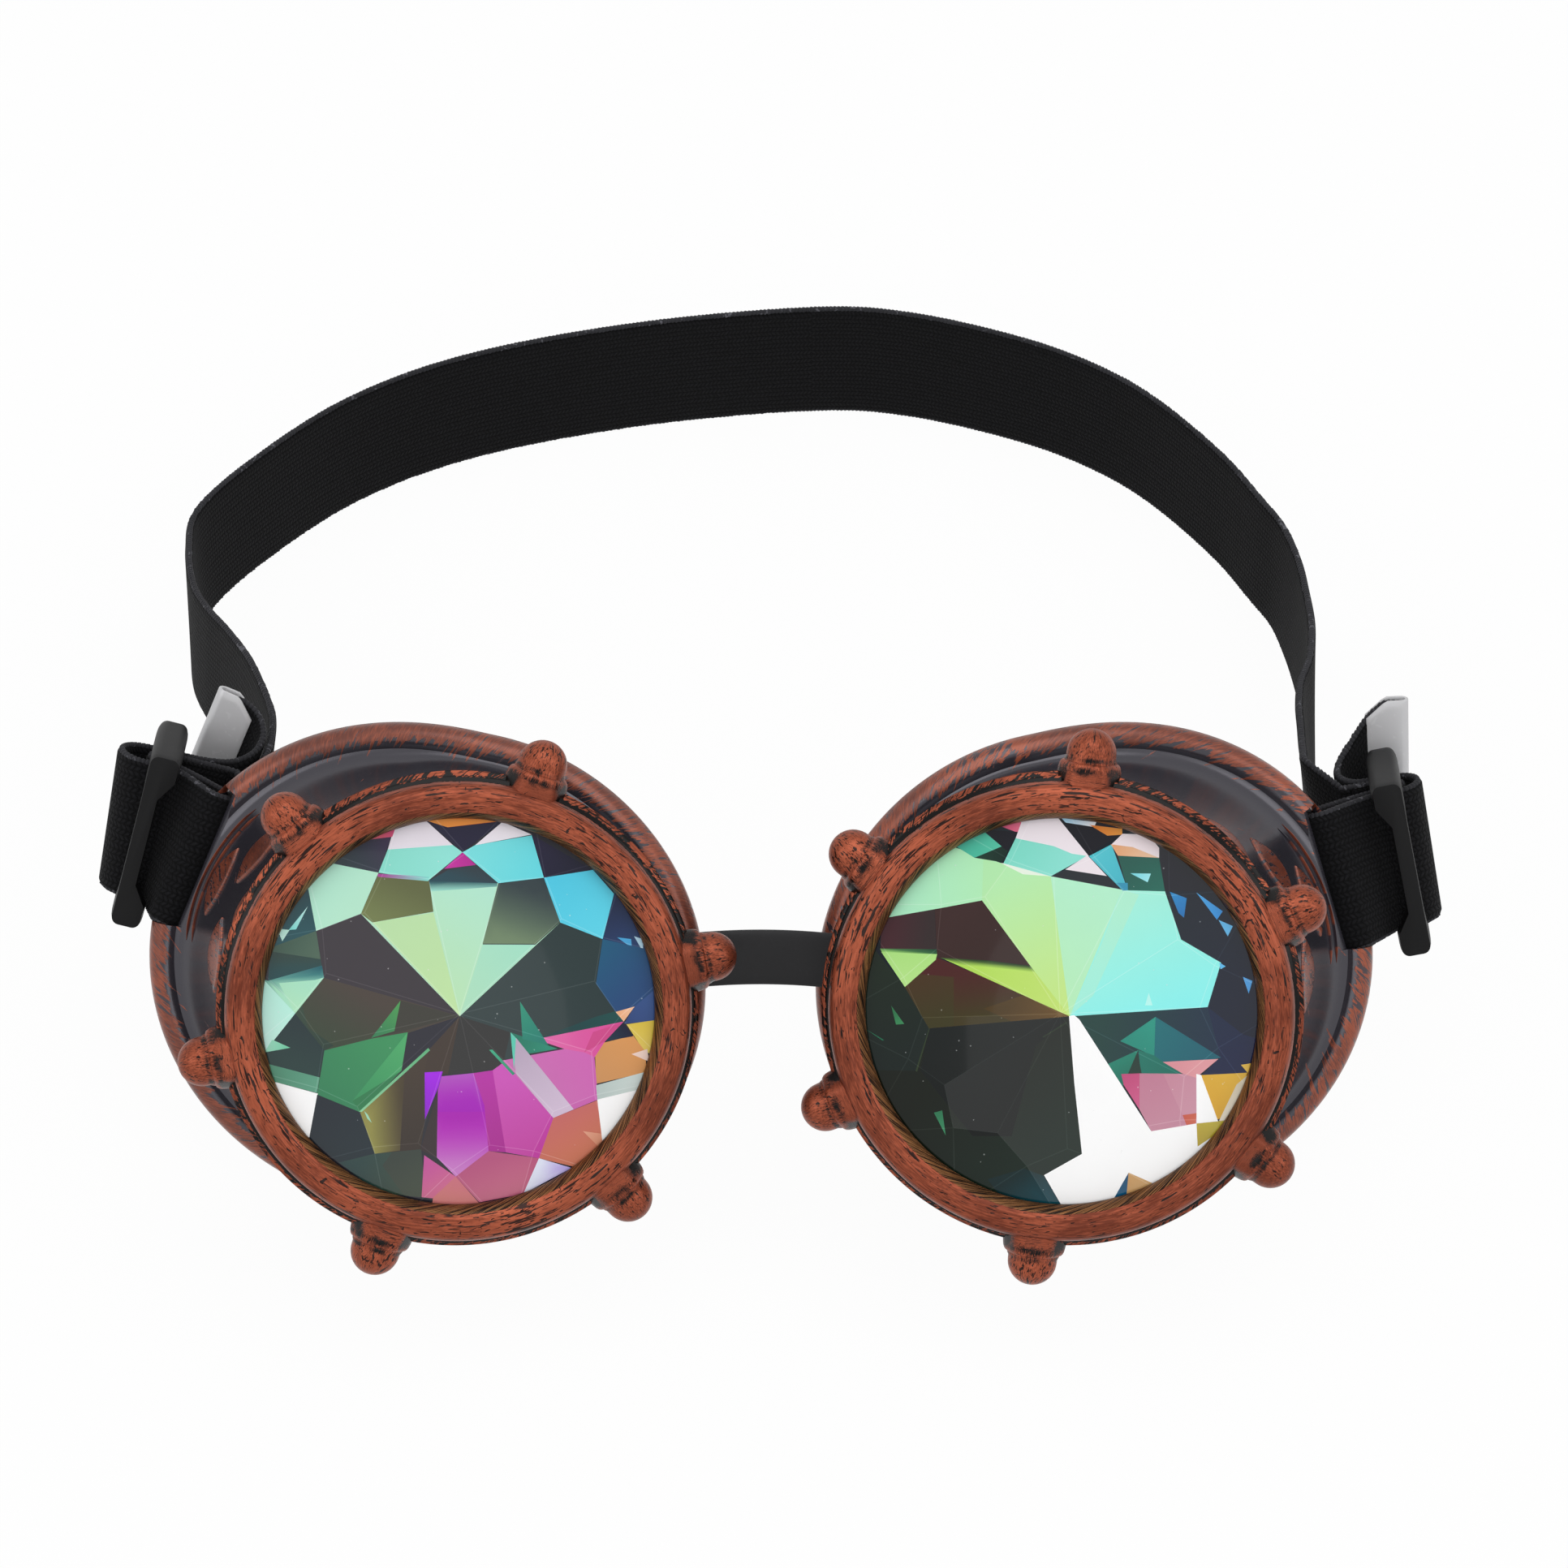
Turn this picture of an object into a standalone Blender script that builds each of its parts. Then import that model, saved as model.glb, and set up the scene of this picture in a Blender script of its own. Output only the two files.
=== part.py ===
# Costume goggles with screw-on bezels, faceted lenses, a nose strap and an elastic headband.
# Metres, +Z up. The lenses face -Y and lean back, and the headband stands on its lower edge behind.
# A cup's own frame: +X to the right, +Y up across the lens, +Z out along the lens axis, with the
# front plane of the bezel's lip at zero. Depths are measured back from that plane.

import math

import bmesh
import bpy
from mathutils import Matrix, Vector

NAME = "costume_goggles"
LEFT = -1
RIGHT = 1
SIDES = {"left": LEFT, "right": RIGHT}

# Clearances
GAP = 0.0003
MERGE = 0.00001

# How the cups stand
CUP_APART = 0.0080
CUP_BACK = -0.0731
LENS_RAISE = math.radians(37.0)
TOE_IN = math.radians(7.8)

# Lens
LENS_RADIUS = 0.0250
LENS_EDGE = 0.0020
LENS_CHAMFER = 0.0003
LENS_STEP = 0.0006
LENS_CROWN = 0.0008
LENS_RING_SHARES = (0.72, 0.42)
LENS_RING_COUNTS = (12, 6)

# Ring behind the lens
SEAL_THICK = 0.0008
SEAL_WIDTH = 0.0014

# Thread, cut on the cup's collar and in the bezel's skirt
THREAD_PITCH = 0.0022
THREAD_TURNS = 1.25
THREAD_RIDGE = 0.00045
THREAD_ROOM = 0.00075
COLLAR_STEP = 0.00085
COLLAR_WALL = 0.0020
COLLAR_CHAMFER = 0.0003
COLLAR_RADIUS = LENS_RADIUS + COLLAR_STEP

# Bezel
LIP_COVER = 0.0010
LIP_STEP = 0.0005
LIP_THICK = 0.0022
LIP_ROUND = 0.0006
GROOVE_DEPTH = 0.0007
GROOVE_WIDTH = 0.0007
SKIRT_WALL = 0.0015
SKIRT_DEPTH = 0.0096
SKIRT_CHAMFER = 0.0004
OPENING_RADIUS = LENS_RADIUS - LIP_COVER
SKIRT_BORE = COLLAR_RADIUS + THREAD_ROOM
SKIRT_RADIUS = SKIRT_BORE + SKIRT_WALL
LIP_RADIUS = SKIRT_RADIUS + LIP_STEP
CUP_SPREAD = LIP_RADIUS + CUP_APART

# Domed nuts of the bezel
NUT_COUNT = 6
NUT_DEPTH = 0.0046
NUT_FLATS = 0.0072
NUT_SINK = 0.0010
NUT_STAND = 0.0025
NUT_CHAMFER = 0.0006
DOME_RADIUS = 0.00305
DOME_RISE = 0.0007
NUT_TURN = {"left": math.radians(6.0), "right": math.radians(30.0)}
NUT_FOOT = LIP_RADIUS - NUT_SINK
NUT_TOP = LIP_RADIUS + NUT_STAND

# Cup wall and rim
SHOULDER_INSET = 0.0005
SHOULDER_WIDTH = 0.0011
WALL_STEP = 0.0007
WALL_THICK = 0.0020
RIM_FLARE = 0.00484
RIM_TEMPLE_EXTRA = 0.0067
RIM_TEMPLE_POWER = 1.5
RIM_DEPTH = 0.02716
RIM_DEPTH_SWING = 0.0097
BEAD_RADIUS = 0.0023
VALLEY_LENGTH = 0.0031
SHOULDER_RADIUS = SKIRT_RADIUS - SHOULDER_INSET
WALL_START_RADIUS = SHOULDER_RADIUS - WALL_STEP
RIM_RADIUS = WALL_START_RADIUS + RIM_FLARE

# Leaf pads and ribs of the wall: angle above the temple, share of the wall from front to rim
PAD_LENGTH = 0.0094
PAD_WIDTH = 0.0050
PAD_HEIGHT = 0.0006
PAD_ROOT = 0.0008
PAD_ANGLES = (54.0, 24.0, -7.0, 39.0, 11.0, 27.0)
PAD_PLACE_SHARES = (0.17, 0.17, 0.17, 0.41, 0.41, 0.64)
RIB_ANGLE_SPAN = math.radians(34.0)
RIB_WIDTH = 0.0006
RIB_HEIGHT = 0.0004
RIB_PLACE_SHARES = (0.79, 0.86)

# Elastic
STRAP_WIDTH = 0.0205
STRAP_THICK = 0.0013

# Strap slot and the loop round the rim
SLOT_ANGLE = math.radians(28.0)
SLOT_PLAY = 0.0014
SLOT_ROOM = 0.0013
SLOT_BAR_TURN = 55.0
SLOT_DEEP = 0.0110
LOOP_SLACK = 0.00125
SLOT_LONG = STRAP_WIDTH + SLOT_PLAY
LOOP_RADIUS = BEAD_RADIUS + GAP + STRAP_THICK / 2 + LOOP_SLACK
SLOT_WIDE = LOOP_RADIUS + STRAP_THICK / 2 + SLOT_ROOM - BEAD_RADIUS - GAP / 2

# Nose strap, its places measured out from where the cup's wall starts
NOSE_TALL = 0.0069
NOSE_THICK = 0.0016
NOSE_LIFT = 0.0015
NOSE_PLACE_SHARE = 0.463
NOSE_STOP_TALL = 0.0110
NOSE_STOP_THICK = 0.0030
NOSE_STOP_LONG = 0.0022
NOSE_STOP_INSET = 0.0043
NOSE_EXIT = 0.0031
NOSE_SLOT_PLAY = 0.0003
NOSE_SLOT_INSET = 0.0089
NOSE_SLOT_EXIT = 0.0010
NOSE_STOP_RADIUS = WALL_START_RADIUS - NOSE_STOP_INSET
NOSE_EXIT_RADIUS = WALL_START_RADIUS + NOSE_EXIT
NOSE_SLOT_INNER = WALL_START_RADIUS - NOSE_SLOT_INSET
NOSE_SLOT_OUTER = RIM_RADIUS + NOSE_SLOT_EXIT

# Slider, its place measured from the middle of the rim's bar: outboard, back and up
SLIDER_THICK = 0.0032
SLIDER_BAR = 0.0026
SLIDER_SIDE = 0.0020
SLIDER_END = 0.0025
SLIDER_ROUND = 0.0007
WINDOW_PLAY = 0.0015
WINDOW_ROOM = 0.0020
WINDOW_WIDE = 2 * STRAP_THICK + WINDOW_ROOM
SLIDER_WINDOW_TALL = STRAP_WIDTH + WINDOW_PLAY
SLIDER_TALL = SLIDER_WINDOW_TALL + 2 * SLIDER_END
SLIDER_WIDE = SLIDER_BAR + 2 * WINDOW_WIDE + 2 * SLIDER_SIDE
SLIDER_OFFSET = (0.00935, 0.00803, 0.00013)
SLIDER_LEAN = (0.27, 0.45, 0.85)
SLIDER_REAR = (0.13, 0.70, -0.70)

# Layers of elastic round the slider's bar, in the slider's frame: outboard, and back
LAYER_PLAY = 0.00035
INNER_LAYER = SLIDER_BAR / 2 + GAP + STRAP_THICK / 2
OUTER_LAYER = INNER_LAYER + STRAP_THICK + LAYER_PLAY
INNER_TURN_OUT = 0.0006
OUTER_TURN_OUT = 0.0014
LAYER_FOOT = 0.0012
FRONT_LAYER_FOOT = (-0.0019, -0.0041)
REAR_LAYER_FOOT = (-0.0019, -0.00235)
HEADBAND_JOIN = {"left": 0.0080, "right": 0.0045}
HEADBAND_LEAD = 0.0010

# Tail of the elastic beyond the slider, its points as outboard, back and rise, and its clip
TAIL_ROUTE = {
    "left": (
        (-0.0040, 0.0039, 0.0), (-0.0053, 0.0044, 0.0001), (-0.0062, 0.0056, 0.0003),
        (-0.0065, 0.0072, 0.0008), (-0.0066, 0.0100, 0.0018), (-0.0066, 0.0150, 0.0036),
    ),
    "right": (
        (-0.0018, 0.0039, 0.0), (-0.0030, 0.0044, 0.0001), (-0.0038, 0.0056, 0.0003),
        (-0.0040, 0.0074, 0.0008), (-0.0033, 0.0098, 0.0018), (-0.0016, 0.0146, 0.0036),
    ),
}
CLIP_LONG = 0.0062
CLIP_SHEET = 0.0005
CLIP_PLAY = 0.0007
CLIP_TALL = STRAP_WIDTH + CLIP_PLAY
CLIP_BEND_STEPS = 4

# Headband route: x, y and height of the elastic's lower edge, then how far its upward direction
# leans in x and in y. It starts at the left slider and ends at the right one, and was laid for
# sliders that stand at the place named below it.
HEADBAND_ROUTE = (
    (-0.0695, -0.0307, 0.0218, 0.24, 0.35), (-0.0670, -0.0282, 0.0208, 0.21, 0.31),
    (-0.0658, -0.0229, 0.0196, 0.18, 0.28), (-0.0657, -0.0163, 0.0177, 0.15, 0.22),
    (-0.0665, -0.0107, 0.0160, 0.12, 0.18), (-0.0698, 0.0005, 0.0128, 0.10, 0.12),
    (-0.0737, 0.0101, 0.0096, 0.08, 0.08), (-0.0772, 0.0174, 0.0071, 0.08, 0.05),
    (-0.0798, 0.0252, 0.0046, 0.06, 0.02), (-0.0813, 0.0362, 0.0019, 0.03, 0.00),
    (-0.0806, 0.0460, 0.0003, 0.00, 0.00), (-0.0733, 0.0572, 0.0000, 0.00, 0.00),
    (-0.0604, 0.0704, 0.0000, 0.00, 0.00), (-0.0434, 0.0801, 0.0000, 0.00, 0.00),
    (-0.0190, 0.0872, 0.0000, 0.00, 0.00), (0.0071, 0.0908, 0.0000, 0.00, 0.00),
    (0.0221, 0.0895, 0.0000, 0.00, 0.00), (0.0389, 0.0835, 0.0000, 0.00, 0.00),
    (0.0499, 0.0769, 0.0000, 0.00, 0.00), (0.0579, 0.0693, 0.0000, 0.00, 0.00),
    (0.0662, 0.0578, 0.0000, 0.00, 0.00), (0.0711, 0.0484, 0.0000, 0.00, 0.00),
    (0.0740, 0.0423, 0.0000, 0.00, 0.00), (0.0755, 0.0348, 0.0006, 0.00, 0.00),
    (0.0761, 0.0275, 0.0016, -0.02, 0.02), (0.0763, 0.0183, 0.0036, -0.04, 0.04),
    (0.0755, 0.0081, 0.0066, -0.08, 0.08), (0.0739, 0.0005, 0.0093, -0.12, 0.10),
    (0.0731, -0.0065, 0.0118, -0.14, 0.12), (0.0728, -0.0135, 0.0145, -0.16, 0.16),
    (0.0726, -0.0216, 0.0179, -0.20, 0.22), (0.0729, -0.0265, 0.0204, -0.23, 0.30),
)
HEADBAND_SPLITS = 3
ROUTE_SLIDER = (0.0810, -0.0316, 0.0350)

# Segment counts
ROUND_STEPS = 40
CUP_STEPS = 40
WALL_STEPS = 5
BEAD_STEPS = 7
TURN_STEPS = 8
WRAP_STEPS = 14
PAD_STEPS = 10
DOME_STEPS = 10
DOME_RINGS = 6

# Colours, roughness and metallic values
COPPER = (0.45, 0.14, 0.07)
BLACK_PLASTIC = (0.025, 0.024, 0.027)
GLASS_TINT = (0.20, 0.62, 0.56)
SOFT_BLACK = (0.012, 0.012, 0.012)
ELASTIC_BLACK = (0.010, 0.010, 0.011)
NICKEL = (0.62, 0.62, 0.60)


def clear_scene():
    for thing in list(bpy.data.objects):
        bpy.data.objects.remove(thing, do_unlink=True)
    for mesh in list(bpy.data.meshes):
        bpy.data.meshes.remove(mesh)


def collection(name):
    group = bpy.data.collections.new(name)
    bpy.context.scene.collection.children.link(group)
    return group


def material(name, colour, roughness, metallic):
    made = bpy.data.materials.new(name)
    made.use_nodes = True
    surface = made.node_tree.nodes["Principled BSDF"]
    surface.inputs["Base Color"].default_value = (*colour, 1.0)
    surface.inputs["Roughness"].default_value = roughness
    surface.inputs["Metallic"].default_value = metallic
    return made


def finish_mesh(name, bm, group, surface=None):
    mesh = bpy.data.meshes.new(name)
    bmesh.ops.recalc_face_normals(bm, faces=bm.faces)
    bm.to_mesh(mesh)
    bm.free()
    made = bpy.data.objects.new(name, mesh)
    group.objects.link(made)
    if surface:
        mesh.materials.append(surface)
    return made


def apply_modifiers(thing):
    bpy.context.view_layer.update()
    graph = bpy.context.evaluated_depsgraph_get()
    mesh = bpy.data.meshes.new_from_object(thing.evaluated_get(graph))
    thing.modifiers.clear()
    old = thing.data
    thing.data = mesh
    bpy.data.meshes.remove(old)


def cut(thing, tools, operation, solver="EXACT"):
    for tool in tools:
        tool.hide_render = True
        tool.display_type = "WIRE"
        step = thing.modifiers.new(tool.name, "BOOLEAN")
        step.operation = operation
        step.solver = solver
        step.object = tool
        apply_modifiers(thing)


def shade(thing, angle):
    bpy.context.view_layer.update()
    thing.data.shade_smooth()
    thing.data.set_sharp_from_angle(angle=angle)


def turned(name, outline, group, surface=None, steps=ROUND_STEPS):
    # The outline is a closed loop of (radius, depth) points round the lens axis.
    mesh = bpy.data.meshes.new(name)
    points = [(radius, 0.0, -depth) for radius, depth in outline]
    edges = [(n, (n + 1) % len(points)) for n in range(len(points))]
    mesh.from_pydata(points, edges, [])
    made = bpy.data.objects.new(name, mesh)
    group.objects.link(made)
    spin = made.modifiers.new("round", "SCREW")
    spin.axis = "Z"
    spin.steps = steps
    spin.render_steps = steps
    spin.use_merge_vertices = True
    spin.merge_threshold = MERGE
    spin.use_normal_calculate = True
    apply_modifiers(made)
    bm = bmesh.new()
    bm.from_mesh(made.data)
    bmesh.ops.recalc_face_normals(bm, faces=bm.faces)
    bm.to_mesh(made.data)
    bm.free()
    made.data.materials.clear()
    if surface:
        made.data.materials.append(surface)
    return made


def helix(name, radius, depth, turn, group):
    # A ridge that climbs along the lens axis, its middle turn at the given depth.
    curve = bpy.data.curves.new(name, "CURVE")
    curve.dimensions = "3D"
    curve.bevel_depth = THREAD_RIDGE
    curve.bevel_resolution = 0
    curve.use_fill_caps = True
    curve.render_resolution_u = 0
    count = int(ROUND_STEPS * THREAD_TURNS) + 1
    line = curve.splines.new("POLY")
    line.points.add(count - 1)
    for n in range(count):
        angle = math.tau * (n / ROUND_STEPS - THREAD_TURNS / 2) + turn
        height = -depth + THREAD_PITCH * (n / ROUND_STEPS - THREAD_TURNS / 2)
        line.points[n].co = (radius * math.cos(angle), radius * math.sin(angle), height, 1.0)
    made = bpy.data.objects.new(name, curve)
    group.objects.link(made)
    bpy.context.view_layer.update()
    graph = bpy.context.evaluated_depsgraph_get()
    mesh = bpy.data.meshes.new_from_object(made.evaluated_get(graph))
    bpy.data.objects.remove(made)
    bm = bmesh.new()
    bm.from_mesh(mesh)
    bpy.data.meshes.remove(mesh)
    bmesh.ops.remove_doubles(bm, verts=bm.verts, dist=MERGE)
    return finish_mesh(name, bm, group)


def loft(bm, rings, closed_round, caps):
    # Joins rings of equal point counts, in order, to one skin.
    made = [[bm.verts.new(point) for point in ring] for ring in rings]
    last = len(made) if closed_round else len(made) - 1
    for n in range(last):
        first, second = made[n], made[(n + 1) % len(made)]
        for k in range(len(first)):
            j = (k + 1) % len(first)
            bm.faces.new((first[k], first[j], second[j], second[k]))
    if caps:
        bm.faces.new(made[0])
        bm.faces.new(made[-1])


def ribbon(name, stations, group, surface):
    # Each station is a point, an upward direction, a width and a thickness.
    bm = bmesh.new()
    rings = []
    for n, (point, up, width, thick) in enumerate(stations):
        before = stations[max(n - 1, 0)][0]
        after = stations[min(n + 1, len(stations) - 1)][0]
        along = (after - before).normalized()
        across = along.cross(up).normalized()
        half = up.normalized() * (width / 2)
        side = across * (thick / 2)
        rings.append((point - half - side, point + half - side, point + half + side, point - half + side))
    loft(bm, rings, False, True)
    made = finish_mesh(name, bm, group, surface)
    return made


def cup_frame(side, height):
    place = Matrix.Translation((side * CUP_SPREAD, CUP_BACK, height))
    toe = Matrix.Rotation(-side * TOE_IN, 4, "Z")
    lean = Matrix.Rotation(math.radians(90.0) - LENS_RAISE, 4, "X")
    return place @ toe @ lean


def rim_radius(angle):
    return RIM_RADIUS + RIM_TEMPLE_EXTRA * max(0.0, math.cos(angle)) ** RIM_TEMPLE_POWER


def rim_depth(angle):
    return RIM_DEPTH + RIM_DEPTH_SWING * math.cos(angle)


def bead_centre(angle):
    # Depth and radius of the middle of the rim's rounded bead.
    return rim_depth(angle), rim_radius(angle) - BEAD_RADIUS


def shoulder_depth():
    return SKIRT_DEPTH + GAP


def nose_depth():
    # Where the nose strap passes through the wall, between the shoulder and the rim.
    front = shoulder_depth()
    return front + NOSE_PLACE_SHARE * (rim_depth(math.pi) - front)


def wall_start():
    return shoulder_depth() + SHOULDER_WIDTH + SHOULDER_RADIUS - WALL_START_RADIUS, WALL_START_RADIUS


def bezier(points, share):
    rest = 1.0 - share
    weights = (rest ** 3, 3 * rest * rest * share, 3 * rest * share * share, share ** 3)
    return tuple(sum(w * p[k] for w, p in zip(weights, points)) for k in (0, 1))


def wall_curve(angle):
    # Control points, as depth and radius, from the shoulder to the front of the bead.
    start = wall_start()
    depth, radius = bead_centre(angle)
    end = (depth - 0.92 * BEAD_RADIUS, radius - 0.39 * BEAD_RADIUS)
    run = end[0] - start[0]
    lean = max(0.0, end[1] - VALLEY_LENGTH - start[1])
    first = (start[0] + 0.5 * run, start[1] + 0.45 * lean)
    second = (end[0] - 0.25 * VALLEY_LENGTH, max(end[1] - VALLEY_LENGTH, start[1]))
    return start, first, second, end


def wall_point(angle, share, height=0.0):
    # A point on the outer wall as depth and radius, raised outward by a height.
    curve = wall_curve(angle)
    depth, radius = bezier(curve, share)
    step = 0.01
    ahead = bezier(curve, min(1.0, share + step))
    behind = bezier(curve, max(0.0, share - step))
    run, rise = ahead[0] - behind[0], ahead[1] - behind[1]
    size = math.hypot(run, rise)
    return depth - height * rise / size, radius + height * run / size


def cup_place(side, angle, depth, radius):
    return Vector((side * radius * math.cos(angle), radius * math.sin(angle), -depth))


def collar_front():
    return LIP_THICK + GAP + LENS_EDGE + GAP + SEAL_THICK + GAP


def cup_section(angle):
    front = collar_front()
    shoulder = shoulder_depth()
    points = [
        (front, COLLAR_RADIUS - COLLAR_CHAMFER),
        (front + COLLAR_CHAMFER, COLLAR_RADIUS),
        (shoulder, COLLAR_RADIUS),
        (shoulder, SHOULDER_RADIUS),
        (shoulder + SHOULDER_WIDTH, SHOULDER_RADIUS),
    ]
    shares = [n / WALL_STEPS for n in range(WALL_STEPS + 1)]
    points += [wall_point(angle, share) for share in shares]
    depth, radius = bead_centre(angle)
    first = math.radians(203.0)
    last = math.radians(-70.0)
    for n in range(1, BEAD_STEPS + 1):
        turn = first + (last - first) * n / BEAD_STEPS
        points.append((depth + BEAD_RADIUS * math.cos(turn), radius + BEAD_RADIUS * math.sin(turn)))
    inner = [wall_point(angle, share, -WALL_THICK) for share in shares[:-1]]
    points += [point for point in reversed(inner) if point[0] < depth - 0.3 * BEAD_RADIUS]
    while len(points) < 5 + len(shares) + BEAD_STEPS + len(inner):
        points.insert(5 + len(shares) + BEAD_STEPS, points[4 + len(shares) + BEAD_STEPS])
    points.append((shoulder, COLLAR_RADIUS - COLLAR_WALL))
    points.append((front, COLLAR_RADIUS - COLLAR_WALL))
    return points


def bar_direction(side):
    # Direction along the rim at the strap slot, upward, in the cup's frame.
    step = math.radians(1.0)
    ends = []
    for angle in (SLOT_ANGLE - step, SLOT_ANGLE + step):
        depth, radius = bead_centre(angle)
        ends.append(cup_place(side, angle, depth, radius))
    return (ends[1] - ends[0]).normalized()


def bar_middle(side):
    # Middle of the bar that the elastic wraps, halfway through the bow of the rim.
    reach = math.asin(STRAP_WIDTH / 2 / bead_centre(SLOT_ANGLE)[1])
    spots = []
    for turn in (-reach, 0.0, reach):
        depth, radius = bead_centre(SLOT_ANGLE + turn)
        spots.append(cup_place(side, SLOT_ANGLE + turn, depth, radius))
    return (spots[0] + 2 * spots[1] + spots[2]) / 4


def make_cup_body(name, side, parts, cutters, surface):
    bm = bmesh.new()
    rings = []
    for n in range(CUP_STEPS):
        angle = math.tau * n / CUP_STEPS
        rings.append([cup_place(side, angle, d, r) for d, r in cup_section(angle)])
    loft(bm, rings, True, False)
    bmesh.ops.remove_doubles(bm, verts=bm.verts, dist=MERGE)
    cup = finish_mesh(name, bm, parts, surface)

    raised = []
    for n, (degrees, place) in enumerate(zip(PAD_ANGLES, PAD_PLACE_SHARES)):
        raised.append(leaf_pad(f"{name}_pad_{n}", side, math.radians(degrees), place, cutters))
    for n, place in enumerate(RIB_PLACE_SHARES):
        raised.append(wall_rib(f"{name}_rib_{n}", side, place, cutters))
    middle = (collar_front() + SKIRT_DEPTH) / 2
    raised.append(helix(f"{name}_thread", COLLAR_RADIUS, middle, 0.0, cutters))
    cut(cup, raised, "UNION")
    slots = [strap_slot(f"{name}_slot", side, cutters), nose_slot(f"{name}_nose", side, cutters)]
    cut(cup, slots, "DIFFERENCE", "MANIFOLD")
    shade(cup, math.radians(32.0))
    return cup


def leaf_pad(name, side, angle, place, group):
    # A raised leaf: two arcs that meet in a point at each end, with a softened top.
    radius = wall_point(angle, place)[1]
    curve = wall_curve(angle)
    run = math.hypot(curve[3][0] - curve[0][0], curve[3][1] - curve[0][1])
    layers = ((1.0, -PAD_ROOT), (1.0, 0.45 * PAD_HEIGHT), (0.72, PAD_HEIGHT))
    rings = []
    count = PAD_STEPS
    for size, height in layers:
        ring = []
        for n in range(count):
            turn = math.tau * n / count
            along = math.cos(turn) * PAD_LENGTH / 2 * size
            reach = 1.0 - math.cos(turn) ** 2
            across = math.copysign(reach, math.sin(turn)) * PAD_WIDTH / 2 * size
            if n % (count // 2) == 0:
                across = 0.0
            where = angle + along / radius
            share = place + across / run
            depth, height_radius = wall_point(where, share, height)
            ring.append(cup_place(side, where, depth, height_radius))
        rings.append(ring)
    bm = bmesh.new()
    loft(bm, rings, False, True)
    return finish_mesh(name, bm, group)


def wall_rib(name, side, place, group):
    curve = wall_curve(SLOT_ANGLE)
    run = math.hypot(curve[3][0] - curve[0][0], curve[3][1] - curve[0][1])
    half = RIB_WIDTH / 2 / run
    rings = []
    count = 9
    for n in range(count):
        angle = SLOT_ANGLE + RIB_ANGLE_SPAN * (n / (count - 1) - 0.5)
        ring = []
        for share, height in (
            (place - half, -RIB_WIDTH), (place + half, -RIB_WIDTH),
            (place + half, RIB_HEIGHT), (place - half, RIB_HEIGHT),
        ):
            depth, radius = wall_point(angle, share, height)
            ring.append(cup_place(side, angle, depth, radius))
        rings.append(ring)
    bm = bmesh.new()
    loft(bm, rings, False, True)
    return finish_mesh(name, bm, group)


def strap_slot(name, side, group):
    # The slot follows the rim, square to the wall, and leaves a round bar behind it.
    reach = math.radians(45.0)
    lean = Vector((-math.cos(reach), -math.sin(reach)))
    through = Vector((-lean.y, lean.x))
    spread = 2 * math.asin(SLOT_LONG / 2 / (bead_centre(SLOT_ANGLE)[1] - LOOP_RADIUS))
    bar = BEAD_RADIUS + GAP / 2
    turns = [math.radians(SLOT_BAR_TURN) * (n / 2 - 1) for n in range(5)]
    outline = [(bar * math.cos(turn), bar * math.sin(turn)) for turn in turns]
    outline += [(outline[-1][0], SLOT_DEEP / 2), (bar + SLOT_WIDE, SLOT_DEEP / 2)]
    outline += [(bar + SLOT_WIDE, -SLOT_DEEP / 2), (outline[0][0], -SLOT_DEEP / 2)]
    rings = []
    count = 9
    for n in range(count):
        angle = SLOT_ANGLE + spread * (n / (count - 1) - 0.5)
        middle = Vector(bead_centre(angle))
        ring = []
        for across, along in outline:
            point = middle + lean * across + through * along
            ring.append(cup_place(side, angle, point.x, point.y))
        rings.append(ring)
    bm = bmesh.new()
    loft(bm, rings, False, True)
    return finish_mesh(name, bm, group)


def nose_slot(name, side, group):
    long = NOSE_SLOT_OUTER - NOSE_SLOT_INNER
    bm = bmesh.new()
    bmesh.ops.create_cube(bm, size=1.0)
    size = (long, NOSE_TALL + 2 * NOSE_SLOT_PLAY, NOSE_THICK + 2 * NOSE_SLOT_PLAY)
    bmesh.ops.scale(bm, verts=bm.verts, vec=size)
    middle = (-side * (NOSE_SLOT_INNER + long / 2), NOSE_LIFT, -nose_depth())
    bmesh.ops.translate(bm, verts=bm.verts, vec=middle)
    return finish_mesh(name, bm, group)


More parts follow.
